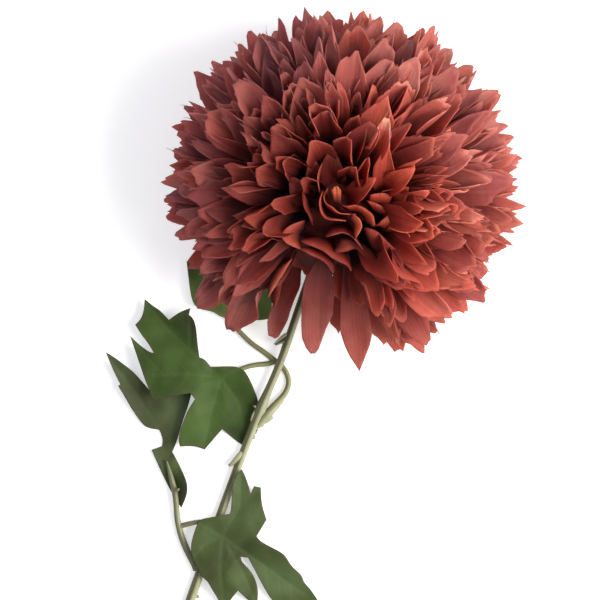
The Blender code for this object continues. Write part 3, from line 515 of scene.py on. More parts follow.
def in_plan(u, v, step):
    """Plan place of a pixel, with so many millimetres to a pixel."""
    return VIEW_AT[0] + (u - FRAME_MIDDLE) * step, VIEW_AT[1] - (v - FRAME_MIDDLE) * step


def in_frame(x, y, step):
    """Pixel of a plan place, with so many millimetres to a pixel."""
    return FRAME_MIDDLE + (x - VIEW_AT[0]) / step, FRAME_MIDDLE - (y - VIEW_AT[1]) / step


def pixel_step(height):
    """Millimetres to a pixel of the camera's frame at a height."""
    return (VIEW_HEIGHT - height) * VIEW_SHARE / FRAME_PIXELS


def from_photo(u, v, height):
    """Plan place of what the camera sees at a pixel of its frame, at a height."""
    return Vector((*in_plan(u, v, pixel_step(height)), height))


def to_grid(points):
    """Plan grid places of row frame points in metres, as an array."""
    plan = points[:, :2] / MM - np.array(BLOOM_AT)
    return np.column_stack(in_frame(*plan.T, GRID))


def smooth_line(places, step):
    """Points along a smooth curve through places, about step apart."""
    line = []
    last = len(places) - 1
    for index in range(last):
        a, b, c, d = (places[max(0, min(last, index + k))] for k in (-1, 0, 1, 2))
        pieces = max(1, round((c - b).length / step))
        for piece in range(pieces):
            t = piece / pieces
            curve = (c - a) * t + (2 * a - 5 * b + 4 * c - d) * t * t + (3 * (b - c) + d - a) * t ** 3
            line.append(b + curve / 2)
    line.append(places[-1])
    return line


def linked(name, data):
    """A new object in the scene that holds this data."""
    item = bpy.data.objects.new(name, data)
    bpy.context.scene.collection.objects.link(item)
    return item


def store(mesh, name, numbers):
    """Gives each point of a mesh a number for its material to read."""
    layer = mesh.attributes.new(name, "FLOAT", "POINT")
    layer.data.foreach_set("value", np.asarray(numbers, np.float32))


def new_object(name, points, faces, material, values):
    """A piece from plan points in millimetres, with point values for its material to read."""
    mesh = bpy.data.meshes.new(name)
    mesh.from_pydata([to_row(point) for point in points], [], faces)
    for key, numbers in values.items():
        store(mesh, key, numbers)
    mesh.materials.append(material)
    mesh.shade_smooth()
    return linked(name, mesh)


def apply_modifiers(item):
    bpy.context.view_layer.update()
    graph = bpy.context.evaluated_depsgraph_get()
    item.data = bpy.data.meshes.new_from_object(item.evaluated_get(graph))
    item.modifiers.clear()


def round_off(item, levels):
    """Subdivides a piece into a rounder one."""
    rounded = item.modifiers.new("rounded", "SUBSURF")
    rounded.levels = levels
    rounded.render_levels = levels
    apply_modifiers(item)


def thicken(item, thickness):
    """Gives sheets their thickness, in millimetres."""
    shell = item.modifiers.new("fabric", "SOLIDIFY")
    shell.thickness = thickness * MM
    shell.offset = 0.0
    shell.use_even_offset = False
    apply_modifiers(item)


def dress(item, nodes, slot):
    """Fix a piece to the body in place of its solids; the finish slot it is given is not used."""
    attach(item, "root")
    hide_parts(*nodes)


def tube_faces(first, rings, sides, way=1):
    """Faces of a tube, between its rings of points. With way at -1 they face the other way."""
    faces = []
    for ring in range(rings):
        for side in range(sides):
            a = first + ring * sides + side
            b = first + ring * sides + (side + 1) % sides
            faces.append((a, *(b, b + sides, a + sides)[::way]))
    return faces


# Materials


class Shading:
    """One material, with a short call for each kind of node that it uses."""

    def __init__(self, name, roughness, specular=None):
        self.material = bpy.data.materials.new(name)
        self.material.use_nodes = True
        self.tree = self.material.node_tree
        self.sockets = self.tree.nodes["Principled BSDF"].inputs
        self.put(roughness, self.sockets["Roughness"])
        self.put(specular, self.sockets["Specular IOR Level"])

    def put(self, value, socket):
        """Gives a socket a number, a vector, a colour or another node's output. With None it stays."""
        if isinstance(value, (int, float, Vector)):
            socket.default_value = value
        elif isinstance(value, tuple):
            socket.default_value = (*value, 1.0)
        elif value is not None:
            self.tree.links.new(value, socket)

    def make(self, kind, inputs, **settings):
        """A node with what its inputs take, by their names or numbers, and its settings."""
        node = self.tree.nodes.new("ShaderNode" + kind)
        for key, value in settings.items():
            setattr(node, key, value)
        for key, value in inputs.items():
            self.put(value, node.inputs[key])
        return node

    def coordinates(self):
        return self.make("TexCoord", {}).outputs["Object"]

    def attribute(self, name):
        return self.make("Attribute", {}, attribute_name=name).outputs["Fac"]

    def maths(self, operation, first, second=None, clamp=False):
        inputs = {0: first, 1: second}
        return self.make("Math", inputs, operation=operation, use_clamp=clamp).outputs[0]

    def ramp(self, factor, stops):
        node = self.make("ValToRGB", {"Fac": factor})
        elements = node.color_ramp.elements
        while len(elements) < len(stops):
            elements.new(0.5)
        for element, (place, colour) in zip(elements, stops):
            element.position = place
            element.color = (*colour, 1.0)
        return node.outputs["Color"]

    def fade(self, factor, *stops):
        """A ramp from one grey to another."""
        return self.ramp(factor, [(place, (grey, grey, grey)) for place, grey in stops])

    def mix(self, factor, first, second, blend="MIX"):
        inputs = {0: factor, 6: first, 7: second}
        return self.make("Mix", inputs, data_type="RGBA", blend_type=blend).outputs[2]

    def times(self, first, second):
        return self.mix(1.0, first, second, "MULTIPLY")

    def noise(self, scale, detail=2.0, vector=None):
        inputs = {"Scale": scale, "Detail": detail, "Vector": vector or self.coordinates()}
        return self.make("TexNoise", inputs).outputs["Fac"]

    def relief(self, weave, crumple):
        """Height of a fine weave over broader crumples, from the scales of both."""
        fine = self.maths("MULTIPLY", self.noise(weave), 0.10)
        return self.maths("ADD", fine, self.noise(crumple, 3.0))

    def share_towards(self, direction):
        """How far over the bloom a place lies in a direction, from 0 to 1."""
        inputs = {0: self.coordinates(), 1: to_row((0, 0, 0))}
        apart = self.make("VectorMath", inputs, operation="SUBTRACT")
        inputs = {0: apart.outputs["Vector"], 1: Vector(direction) / (2 * BALL_RADIUS * MM)}
        toward = self.make("VectorMath", inputs, operation="DOT_PRODUCT")
        return self.maths("ADD", toward.outputs["Value"], 0.5, True)

    def finish(self, colour, height, strength, distance):
        """The material with its colour, and bumps of this strength and depth in metres."""
        bumps = self.make("Bump", {"Strength": strength, "Distance": distance, "Height": height})
        self.put(bumps.outputs["Normal"], self.sockets["Normal"])
        self.put(colour, self.sockets["Base Color"])
        return self.material


def petal_material():
    """Thin dyed fabric: painted shade near black red at the roots, dusty at the tips, streaks along each
    petal.
    """
    look = Shading("petals", 0.70, 0.15)
    look.put(0.22, look.sockets["Subsurface Weight"])
    look.put(Vector((1.0, 0.30, 0.22)), look.sockets["Subsurface Radius"])
    look.put(0.004, look.sockets["Subsurface Scale"])
    along, across, chance, outer, painted_glow = map(look.attribute, POINT_VALUES)
    # Crown and skirt colours, with painted shade towards the roots
    colour = look.mix(outer, look.ramp(along, CROWN_COLOURS), look.ramp(along, SKIRT_COLOURS))
    # Painted light shining through the fabric
    colour = look.mix(painted_glow, colour, PAINTED_GLOW_COLOUR)
    # Tone at random, with painted light and shade from rolled flaps, folds and standing petals
    colour = look.times(colour, look.ramp(chance, TONES_AND_PAINTED_LIGHT))
    spots = look.noise(70.0, 3.0)
    colour = look.times(colour, look.ramp(spots, PATCHES))
    stretched = ((across, 7.0), (along, 1.6), (chance, 90.0))
    place = look.make("CombineXYZ", dict(enumerate(look.maths("MULTIPLY", *pair) for pair in stretched)))
    streaks = look.noise(1.0, 4.0, place.outputs[0])
    colour = look.times(colour, look.ramp(streaks, STREAKS))
    # Painted highlight along the petal's edges towards its tip, in patches
    rim = look.maths("POWER", look.maths("ABSOLUTE", across), 8.0, True)
    rim = look.maths("MULTIPLY", rim, look.fade(along, (0.45, 0.0), (1.0, 0.16)))
    rim = look.maths("MULTIPLY", rim, look.fade(spots, (0.42, 0.1), (0.62, 1.0)))
    colour = look.mix(rim, colour, RIM_HIGHLIGHT_COLOUR)
    # Painted highlight on frayed cut tips, where the tone runs over 1
    tip_highlight_share = look.maths("MULTIPLY", look.maths("SUBTRACT", chance, 1.0, True), 1.7, True)
    colour = look.mix(tip_highlight_share, colour, TIP_HIGHLIGHT_COLOUR)
    # Painted light and shade over the bloom, along each direction in plan
    for direction, stops in PAINTED_LIGHT_DRIFTS:
        colour = look.times(colour, look.ramp(look.share_towards(direction), stops))
    height = look.maths("ADD", look.maths("MULTIPLY", streaks, 0.5), look.relief(2600.0, 200.0))
    return look.finish(colour, height, 0.6, 0.0009)


def leaf_material():
    """Printed fabric: soft greens drifting over the blade, paler veins, browner cut edges; painted light and
    shade.
    """
    look = Shading("leaves", 0.55, 0.14)
    vein, edge, tint, light = map(look.attribute, ("vein", "edge", "tint", "light"))
    drifts = look.noise(45.0)
    colour = look.mix(tint, look.ramp(drifts, LEAF_GREENS), look.ramp(drifts, LEAF_GREYS))
    colour = look.mix(look.maths("MULTIPLY", vein, 0.09), colour, VEIN_COLOUR)
    colour = look.mix(look.maths("MULTIPLY", edge, 0.55), colour, CUT_COLOUR)
    # Painted light and shade: each leaf's colour scaled by its painted light
    colour = look.times(colour, light)
    return look.finish(colour, look.relief(2200.0, 160.0), 0.35, 0.0008)


def stem_material(name, pale, middle, dark):
    """Moulded plastic, brownish streaks along it; painted light on its right, painted shade on its left and
    in its groove.
    """
    look = Shading(name, 0.42, 0.45)
    side, groove = map(look.attribute, ("side", "groove"))
    # Painted light on the sides that face right and painted shade on those turned left
    colour = look.ramp(side, ((0.02, middle), (0.16, dark), (0.46, middle), (0.82, pale)))
    brown = look.fade(look.noise(70.0, 3.0), (0.45, 0.0), (0.75, 0.55))
    colour = look.mix(brown, colour, STREAK_COLOUR)
    # Painted shade in the groove
    colour = look.mix(look.maths("MULTIPLY", groove, 0.75), colour, GROOVE_SHADE_COLOUR)
    return look.finish(colour, look.noise(700.0, 3.0), 0.25, 0.0005)


# Petals


def drift(azimuth, angle, kind):
    """A smooth chance value that neighbouring petals share."""
    across = Vector((math.cos(azimuth), math.sin(azimuth), 0)) * math.sin(angle)
    place = across + Vector((0, 0, math.cos(angle)))
    return noise_field.noise(place / DRIFT_SHARE + Vector((0, 0, 20 * kind)))


def chances(draw):
    """The chance values of one petal."""
    return [draw.uniform(-1, 1) for _ in range(CHANCES)]


def rule_petals(draw):
    """Petals set out by the golden angle from the crown down to the skirt."""
    petals = []
    for index in range(PETAL_COUNT):
        share = ((index + 0.5) / PETAL_COUNT) ** PETAL_CROWDING
        angle = math.acos(1 - share * (1 - math.cos(LAST_PETAL_ANGLE)))
        azimuth = index * GOLDEN_ANGLE
        chance = chances(draw)
        drifts = [drift(azimuth, angle, kind) for kind in range(4)]
        slope = math.degrees(angle)
        angle += PLACE_JITTER * chance[10] + PLACE_DRIFT * drifts[0] * smooth_step(slope, *DRIFT_SLOPES)
        azimuth += (TURN_JITTER * chance[11] + TURN_DRIFT * drifts[1]) / max(0.35, math.sin(angle))
        if abs(turn_from(azimuth, OPEN_AZIMUTH)) < OPEN_HALF and angle > OPEN_FROM:
            continue
        inner = 1 - smooth_step(slope, *INNER_SLOPES)
        reach = 1 + REACH_JITTER * chance[2] - REACH_LOSS * max(0.0, chance[12] - 0.5)
        height = CROWN_HEIGHT if angle < math.pi / 2 else SKIRT_DEPTH
        dip = 1 - CROWN_DIP * math.exp(-(slope / DIP_SLOPE) ** 2)
        lean = LEAN * max(0.0, math.sin(2 * min(angle, math.pi / 2)))
        lean += LEAN_JITTER * chance[3] + LEAN_DRIFT * drifts[2]
        width = CROWN_WIDTH + (OUTER_WIDTH - CROWN_WIDTH) * smooth_step(slope, *WIDTH_SLOPES)
        twist = TWIST_JITTER * chance[4] * (1 + CROWN_TWIST * inner) + TWIST_DRIFT * drifts[3]
        petals.append({
            "azimuth": azimuth,
            "width": width * (1 + WIDTH_JITTER * chance[1]),
            "tip_radius": BALL_RADIUS * math.sin(angle) * reach,
            "tip_height": height * math.cos(angle) * reach * dip,
            "root_angle": ROOT_SHARE * angle + math.radians(ROOT_JITTER * chance[0]),
            "tip_angle": angle + lean * (1 - CROWN_LEAN_LOSS * inner) - CROWN_UPRIGHT * inner,
            "twist": twist,
            "bend": BEND_JITTER * chance[5],
            "cup": CUP + CUP_JITTER * chance[6] + CROWN_CUP * inner,
            "curl": CURL_JITTER * chance[8],
            "outer": smooth_step(slope, *OUTER_SLOPES),
            "wide": False,
            "chance": chance,
        })
    return petals


def set_petals(draw):
    """The petals of the open sector, at their own places and with their own forms."""
    petals = []
    for index, (azimuth, radius, height, width, root, tip) in enumerate(SET_PETALS):
        petals.append({
            "azimuth": math.radians(azimuth),
            "width": width,
            "tip_radius": radius,
            "tip_height": height - BLOOM_HEIGHT,
            "root_angle": math.radians(root),
            "tip_angle": math.radians(tip),
            "twist": math.radians(SET_TWISTS[index % len(SET_TWISTS)]),
            "bend": 0.0,
            "cup": SET_CUPS[index % len(SET_CUPS)],
            "curl": 0.0,
            "outer": smooth_step(radius, *SET_OUTER_RADII),
            "wide": index % 3 == 0,
            "chance": chances(draw),
            "roll": None,
            "shade": SET_SHADE,
            **SET_FORMS.get(index, {}),
        })
    return petals


def resting_root(azimuth):
    """Where a resting petal springs from the core: higher up where the tilt lifts it."""
    behind = max(0.0, -math.cos(azimuth - BLOOM_TILT_TOWARDS))
    return RESTING_ROOT - RESTING_ROOT_LIFT * behind


def resting_petals(draw):
    """The petals that bend down and lie on the surface."""
    return [{
        "azimuth": math.radians(azimuth),
        "width": RESTING_WIDTH,
        "tip_radius": RESTING_RADIUS,
        "tip_height": -BLOOM_HEIGHT - RESTING_PRESS,
        "root_angle": resting_root(math.radians(azimuth)),
        "tip_angle": RESTING_TIP,
        "twist": 0.0,
        "bend": 0.0,
        "cup": 0.1,
        "curl": 0.0,
        "outer": 1.0,
        "wide": True,
        "chance": chances(draw),
    } for azimuth in RESTING_PETALS]


def width_share(along):
    """Share of the full width at a place from the root to a blunt tip."""
    widest = 0.70
    if along < widest:
        return 0.34 + 0.66 * math.sin(math.pi / 2 * along / widest) ** 1.2
    return 1 - 0.34 * ((along - widest) / (1 - widest)) ** 2


def core_point(angle):
    """How far out and how high a petal springs from the core at an angle from the crown."""
    rise = CORE_RISE if angle < math.pi / 2 else CORE_DROP
    return CORE_RADIUS * ROOT_DEPTH * math.sin(angle), rise * ROOT_DEPTH * math.cos(angle)


def petal_section(petal, along):
    """Middle, sideways and upward directions and half width of a petal at one place."""
    azimuth = petal["azimuth"]
    root_out, root_up = core_point(petal["root_angle"])
    tip_out, tip_up = petal["tip_radius"], petal["tip_height"]
    pull = 0.5 * math.hypot(tip_out - root_out, tip_up - root_up)
    knee_out = tip_out - pull * math.sin(petal["tip_angle"])
    knee_up = tip_up - pull * math.cos(petal["tip_angle"])
    back = 1 - along
    out_now = back * back * root_out + 2 * along * back * knee_out + along * along * tip_out
    up_now = back * back * root_up + 2 * along * back * knee_up + along * along * tip_up
    out_step = back * (knee_out - root_out) + along * (tip_out - knee_out)
    up_step = back * (knee_up - root_up) + along * (tip_up - knee_up)
    slope = math.atan2(out_step, up_step)
    out = Vector((math.cos(azimuth), math.sin(azimuth), 0))
    around = Vector((-math.sin(azimuth), math.cos(azimuth), 0))
    middle = out * out_now + UP * up_now + around * petal["bend"] * along * along
    normal = UP * math.sin(slope) - out * math.cos(slope)
    twist = petal["twist"] * along
    side = around * math.cos(twist) + normal * math.sin(twist)
    face = normal * math.cos(twist) - around * math.sin(twist)
    middle += face * petal["curl"] * smooth_step(along, 0.68, 1.0) ** 1.5
    share = width_share(along)
    share += petal.get("broad", 0.0) * (1 - share) * smooth_step(along, 0.15, 0.35)
    return middle, side, face, petal["width"] / 2 * share


def lowest_allowed(point):
    """The least height for a place of a petal, over the leaf, the stem or the surface below it."""
    radius = math.hypot(point[0], point[1])
    azimuth = math.atan2(point[1], point[0])
    beside_stem = math.degrees(turn_from(azimuth, STEM_AZIMUTH))
    over_leaf = smooth_step(beside_stem, *LEAF_FROM) * (1 - smooth_step(beside_stem, *LEAF_TO))
    over_leaf *= smooth_step(radius, *LEAF_OUT)
    from_stem = abs(radius * math.sin(math.radians(beside_stem)))
    over_stem = 1 - smooth_step(from_stem, *STEM_BESIDE) if abs(beside_stem) < 90 else 0.0
    return max(OVER_LEAF * over_leaf, OVER_STEM * over_stem, OVER_SURFACE)


class Sheets:
    """Gathers the points, faces and values of many fabric sheets for one piece."""

    def __init__(self):
        self.points = []
        self.faces = []
        self.values = {key: [] for key in POINT_VALUES}

    def add(self, rows):
        """Takes a sheet's rows, all of one length, of tuples of a point and its values."""
        rows = list(rows)
        start = len(self.points)
        wide = len(rows[0])
        for row in rows:
            for point, *numbers in row:
                self.points.append(point)
                for key, number in zip(POINT_VALUES, numbers):
                    self.values[key].append(number)
        for a in range(len(rows) - 1):
            for b in range(wide - 1):
                corner = start + a * wide + b
                self.faces.append((corner, corner + 1, corner + wide + 1, corner + wide))
        return rows[-1], rows[-3]

    def finish(self, name, material, thickness=FABRIC):
        """All the sheets as one piece in the bloom's place."""
        item = new_object(name, self.points, self.faces, material, self.values)
        thicken(item, thickness)
        dress(item, ("bloom",), "petals")


def tip_line(t, petal):
    """How far along a petal its cut edge lies, at a place t across it."""
    chance = petal["chance"]
    wide = petal["wide"]
    if "tip" in petal:
        depth, power, skew = petal["tip"]
        return 1 - depth * abs((t - skew) / (1 + abs(skew))) ** power + 0.01 * math.sin(8 * t + chance[1])
    if wide or chance[9] < 0.1:
        depth, power = 0.24 + 0.05 * chance[7], 2.1 + 0.4 * chance[13]
    else:
        depth, power = 0.31 + 0.08 * chance[7], 1.72 + 0.3 * chance[13]
    skew = 0.0 if wide else 0.30 * chance[10]
    off = (t - skew) / (1 + abs(skew))
    line = 1 - depth * abs(off) ** power
    if abs(chance[9]) > 0.55 and not wide:
        line -= (0.04 + 0.09 * abs(chance[0])) * math.exp(-((t - 0.5 * chance[13]) / 0.17) ** 2)
    ragged = noise_field.noise(Vector((3.4 * t, 7 * chance[1], 7 * chance[6])))
    return line + 0.075 * ragged + 0.007 * math.sin(15 * t + 9 * chance[1])


def petal_rows(petal, placement, row_count=PETAL_ROWS, column_count=PETAL_COLUMNS):
    """The grid of one fine petal, with its waves, creases and cut tip."""
    chance = petal["chance"]
    wave = 0.13 + 0.15 * abs(chance[12])
    phase = 3.0 * chance[9]
    crease = 0.05 + 0.03 * chance[0]
    fold = 0.9 * max(0.0, abs(chance[4]) - 0.45)
    folded = 1 if chance[4] > 0 else -1
    by_chance = (1 if chance[6] > 0 else -1, *ROLL_BY_CHANCE) if abs(chance[12]) > 0.80 else None
    roll = petal.get("roll", by_chance)
    shade = petal.get("shade", 0.0)
    for a in range(row_count + 1):
        step = (a / row_count) ** 0.85
        row = []
        for b in range(column_count + 1):
            t = math.sin(math.pi / 2 * (-1 + 2 * b / column_count))
            along = step * tip_line(t, petal)
            middle, side, face, half = petal_section(petal, along)
            lift = petal["cup"] * t * t
            lift += wave * math.sin(7 * along + phase + 2.3 * t) * abs(t) * smooth_step(along, 0.2, 0.7)
            lift += (0.4 * wave * math.sin(17 * along + 2 * phase + 4.1 * t) * abs(t)
                     * smooth_step(along, 0.5, 0.9))
            lift += crease * math.cos(9.4 * t) * smooth_step(along, 0.1, 0.5)
            lift += fold * max(0.0, t * folded) ** 1.6 * smooth_step(along, 0.3, 0.9)
            tone = 0.5 + 0.5 * chance[5]
            turned = t
            if roll:
                turn, start, end = roll
                over = max(0.0, t * turn - ROLL_AT) * smooth_step(along, start, start + ROLL_RUN)
                over *= 1 - smooth_step(along, end - ROLL_RUN, end)
                turned -= turn * over * ROLL_BACK
                lift += over * ROLL_RISE
                # The flap that rolls back gets a painted highlight
                tone = max(tone, min(1.0, tone + 1.4 * over))
            # Painted highlight towards a frayed cut tip
            tone += petal.get("bleach", 0.0) * smooth_step(along, TIP_HIGHLIGHT_FROM, 1.0)
            place = placement @ (middle + side * turned * half + face * half * lift)
            place.z = max(place.z, lowest_allowed(place))
            # Along the petal its colour runs from the painted shade at the root to the tip's colour
            row.append((place, shade + (1 - shade) * along, t, tone, petal["outer"], 0.0))
        yield row


def in_whorl(petal):
    """Whether a petal's tip shows within the part of the frame that the whorl takes."""
    tip = TILTED @ petal_section(petal, 1.0)[0]
    at_u, at_v = in_frame(tip.x, tip.y, pixel_step(tip.z))
    return any(math.hypot((at_u - u) / wide, (at_v - v) / high) < 1 for (u, v), (wide, high) in WHORL_CLEARED)


def between_petals(draw, width, turn):
    """Narrower petals beside those of the rule, most of them a little shorter."""
    petals = rule_petals(draw)
    for petal in petals:
        reach = draw.uniform(*BETWEEN_REACH)
        petal["azimuth"] += turn * draw.uniform(0.6, 1.4)
        petal["tip_radius"] *= reach
        petal["tip_height"] *= reach
        petal["width"] *= width * draw.uniform(0.8, 1.2)
        petal["twist"] *= BETWEEN_TWIST
    return petals


def under_petals(draw):
    """Petals that droop towards the surface all round, apart from the open sector."""
    petals = []
    for index in range(UNDER_COUNT):
        share = (index + draw.uniform(-0.3, 0.3)) / (UNDER_COUNT - 1)
        azimuth = UNDER_FROM + (UNDER_TO - UNDER_FROM) * min(1.0, max(0.0, share))
        petals.append({
            "azimuth": azimuth,
            "width": RESTING_WIDTH * draw.uniform(0.85, 1.1),
            "tip_radius": draw.uniform(*UNDER_REACH),
            "tip_height": draw.uniform(*UNDER_HEIGHTS) - BLOOM_HEIGHT,
            "root_angle": resting_root(azimuth),
            "tip_angle": RESTING_TIP + draw.uniform(-0.1, 0.4),
            "twist": draw.uniform(-0.5, 0.5),
            "bend": draw.uniform(-5, 5),
            "cup": draw.uniform(0.1, 0.5),
            "curl": draw.uniform(-1, 1),
            "outer": 1.0,
            "wide": index % 2 == 0,
            "chance": chances(draw),
        })
    return petals


def make_between(material):
    """The narrower petals in the gaps, and the drooping ones under the bloom."""
    draw = random.Random(BETWEEN_SEED)
    sheets = Sheets()
    for width, turn in zip(BETWEEN_WIDTHS, BETWEEN_TURNS):
        for petal in between_petals(draw, width, turn):
            if petal["outer"] > BETWEEN_FROM and not in_whorl(petal):
                sheets.add(petal_rows(petal, TILTED, *BETWEEN_GRID))
    for petal in under_petals(draw):
        sheets.add(petal_rows(petal, UPRIGHT, *BETWEEN_GRID))
    sheets.finish("petals_between", material)


def make_thread(sheets, foot, along, draw):
    """A frayed thread from a petal's cut edge, as a thin strip that bends."""
    length = draw.uniform(*THREAD_LENGTHS)
    sideways = Vector((draw.uniform(-1, 1), draw.uniform(-1, 1), draw.uniform(-0.6, 1.0)))
    across = along.cross(UP)
    across = across.normalized() if across.length > 0.1 else Vector((1, 0, 0))
    rows = []
    for a in range(THREAD_STEPS + 1):
        t = a / THREAD_STEPS
        middle = foot + along * length * t + sideways * length * 0.35 * t * t
        middle.z = max(middle.z, FABRIC)
        half = THREAD_WIDTH / 2 * (1 - 0.6 * t)
        rows.append([(middle + across * half * side, 1.0, 1.0, 0.8, 1.0, 0.0) for side in (-1, 1)])
    sheets.add(rows)


def make_petals(material):
    """The fine petals in place of the solid's, and the threads that fray from their cut edges."""
    draw = random.Random(PETAL_SEED)
    sheets = Sheets()
    edges = []
    frayed = []
    for index, petal in enumerate(rule_petals(draw)):
        if in_whorl(petal):
            continue
        petal["tip_radius"] *= TRIMS.get(index, 1.0)
        petal["width"] *= 1 + CROWN_BROAD * (1 - petal["outer"])
        petal["bleach"] = HIGHLIGHTED_TIPS.get(index, 0.0)
        edges.append(sheets.add(petal_rows(petal, TILTED)))
        if index in HIGHLIGHTED_TIPS:
            frayed += [edges[-1]] * HIGHLIGHTED_TIP_THREADS
    lowest = set_petals(draw)
    for _ in range(SET_SKIPPED):
        chances(draw)
    lowest += resting_petals(draw)
    for petal in lowest:
        edges.append(sheets.add(petal_rows(petal, UPRIGHT)))
    sheets.finish("petals_fine", material)
    fray = random.Random(THREAD_SEED)
    threads = Sheets()
    for count in range(THREADS + len(frayed)):
        last, before = fray.choice(edges) if count < THREADS else frayed[count - THREADS]
        place = fray.randrange(2, len(last) - 2)
        along = (last[place][0] - before[place][0]).normalized()
        make_thread(threads, last[place][0], along, fray)
    threads.finish("petal_threads", material, THREAD_WIDTH)


def ribbon_rows(places, height, lean, draw):
    """A run of petal edges that stands on the core, with a wavy, nicked top edge."""
    top = smooth_line([from_photo(u, v, height) for u, v in places], RIBBON_STEP)
    centre = from_photo(*WHORL, height)
    phase = draw.uniform(0, 6)
    for a in range(RIBBON_ROWS + 1):
        t = a / RIBBON_ROWS
        row = []
        for index, point in enumerate(top):
            ends = smooth_step(min(index, len(top) - 1 - index), 0, 4)
            edge = 0.9 * math.sin(0.55 * index + phase) + 0.5 * math.sin(1.7 * index + 2 * phase)
            inward = (centre - point) * lean * (1 - t) ** 1.4
            outward = (point - centre).normalized() * 1.2 * t ** 4
            rise = (-RIBBON_DEPTH * (1 - t) + edge * t * t) - 5.0 * (1 - ends) * t
            place = point + inward + outward + Vector((0, 0, rise))
            # Painted shade towards the foot, a painted highlight along the top edge and painted light shining
            # through near it
            row.append((place, 0.35 + 0.65 * t, t ** 6, 0.7, 0.0, 0.3 * t ** 4))
        yield row


def edge_line(places, heights):
    """Evenly spaced points along an edge given in pixels, with the heights of its two ends."""
    start, end = heights
    last = len(places) - 1
    corners = [from_photo(*place, start + (end - start) * index / last) for index, place in enumerate(places)]
    line = smooth_line(corners, 0.5)
    points = []
    for index in range(FOLD_POINTS):
        along = index / (FOLD_POINTS - 1) * (len(line) - 1.001)
        points.append(line[int(along)].lerp(line[int(along) + 1], along % 1))
    return points


def fold_rows(outer, inner, tone, painted_glow, draw):
    """A petal's face between its free edge and an inner edge that drops into the dark."""
    phase = draw.uniform(0, 6)
    ends = [smooth_step(min(index, FOLD_POINTS - 1 - index), -1, 6) for index in range(FOLD_POINTS)]
    for a in range(-1, FOLD_ROWS + 1):
        t = max(0.0, a / FOLD_ROWS)
        row = []
        for index, (low, high, end) in enumerate(zip(inner, outer, ends)):
            wave = 0.35 * math.sin(0.7 * index + phase) + 0.2 * math.sin(1.9 * index + 2 * phase)
            rise = FOLD_BULGE * math.sin(math.pi * t) + wave * t * t - FOLD_SINK * (1 - end) ** 2
            rise -= FOLD_DROP if a < 0 else 0.0
            foot = high.lerp(low, 0.2 + 0.8 * end)
            place = foot.lerp(high, t) + Vector((0, 0, rise))
            # Painted shade towards the inner edge, a painted highlight along the free edge and painted light
            # shining through near it
            row.append((place, 0.36 + 0.64 * t ** 1.1, t ** 6, tone, 0.0, painted_glow * t ** 1.5 * end))
        yield row


def slip_rows(foot, tip, height, width, tone, draw):
    """A petal that stands in the whorl and leans outwards to its pointed tip."""
    top = from_photo(*tip, height)
    base = from_photo(*foot, height - SLIP_DEPTH)
    knee = base + Vector((0, 0, 0.62 * SLIP_DEPTH)) + (top - base) * 0.25
    out = Vector((top.x - base.x, top.y - base.y, 0)).normalized()
    side = Vector((-out.y, out.x, 0))
    cup = draw.uniform(0.15, 0.45)
    twist = math.radians(draw.uniform(-40, 40))
    phase = draw.uniform(0, 6)
    for a in range(PETAL_ROWS + 1):
        row = []
        for b in range(PETAL_COLUMNS + 1):
            c = -1 + 2 * b / PETAL_COLUMNS
            t = a / PETAL_ROWS * (1 - 0.34 * abs(c - 0.1 * math.sin(phase)) ** 1.5)
            middle = base * (1 - t) ** 2 + knee * 2 * t * (1 - t) + top * t * t
            across = side * math.cos(twist * t) + out * math.sin(twist * t)
            inward = side * math.sin(twist * t) - out * math.cos(twist * t) + Vector((0, 0, 0.6))
            half = width / 2 * (0.4 + 0.6 * math.sin(math.pi * min(1.0, t / 1.3)) ** 0.8)
            lift = cup * c * c + 0.16 * math.sin(7 * t + phase + 2 * c) * abs(c)
            place = middle + across * c * half + inward * lift * half
            # Painted shade towards the foot; the tone paints the whole petal lighter or darker as light falls
            # on it
            row.append((place, 0.3 + 0.7 * t, c, tone, 0.0, 0.0))
        yield row


def make_whorl(material):
    """The tightly packed ribbons, folds and standing petals at the bloom's centre."""
    draw = random.Random(PETAL_SEED)
    sheets = Sheets()
    for ribbon in RIBBONS:
        sheets.add(ribbon_rows(*ribbon, draw))
    for outer, outer_heights, inner, inner_heights, tone, painted_glow in FOLDS:
        edges = edge_line(outer, outer_heights), edge_line(inner, inner_heights)
        sheets.add(fold_rows(*edges, tone, painted_glow, draw))
    for slip in SLIPS:
        sheets.add(slip_rows(*slip, draw))
    sheets.finish("petals_whorl", material)


def make_core(material):
    """The heart that the petals spring from, dark with the painted shade of their roots."""
    points = []
    for ring in range(CORE_RINGS + 1):
        slope = math.pi / 2 - ring * math.pi / 2 / CORE_RINGS * (1 + CORE_BELOW)
        rise = CORE_RISE if slope > 0 else CORE_DROP / math.sin(CORE_BELOW * math.pi / 2)
        radius = CORE_SHARE * CORE_RADIUS * math.cos(slope)
        height = CORE_SHARE * rise * math.sin(slope)
        for side in range(CORE_SIDES):
            azimuth = 2 * math.pi * side / CORE_SIDES
            points.append(TILTED @ Vector((radius * math.cos(azimuth), radius * math.sin(azimuth), height)))
    faces = tube_faces(0, CORE_RINGS, CORE_SIDES, -1)
    faces.append(tuple(reversed(range(CORE_RINGS * CORE_SIDES, (CORE_RINGS + 1) * CORE_SIDES))))
    values = {key: [value] * len(points) for key, value in CORE_VALUES.items()}
    dress(new_object("petal_core", points, faces, material, values), ("bloom",), "petals")


# Leaves and stems


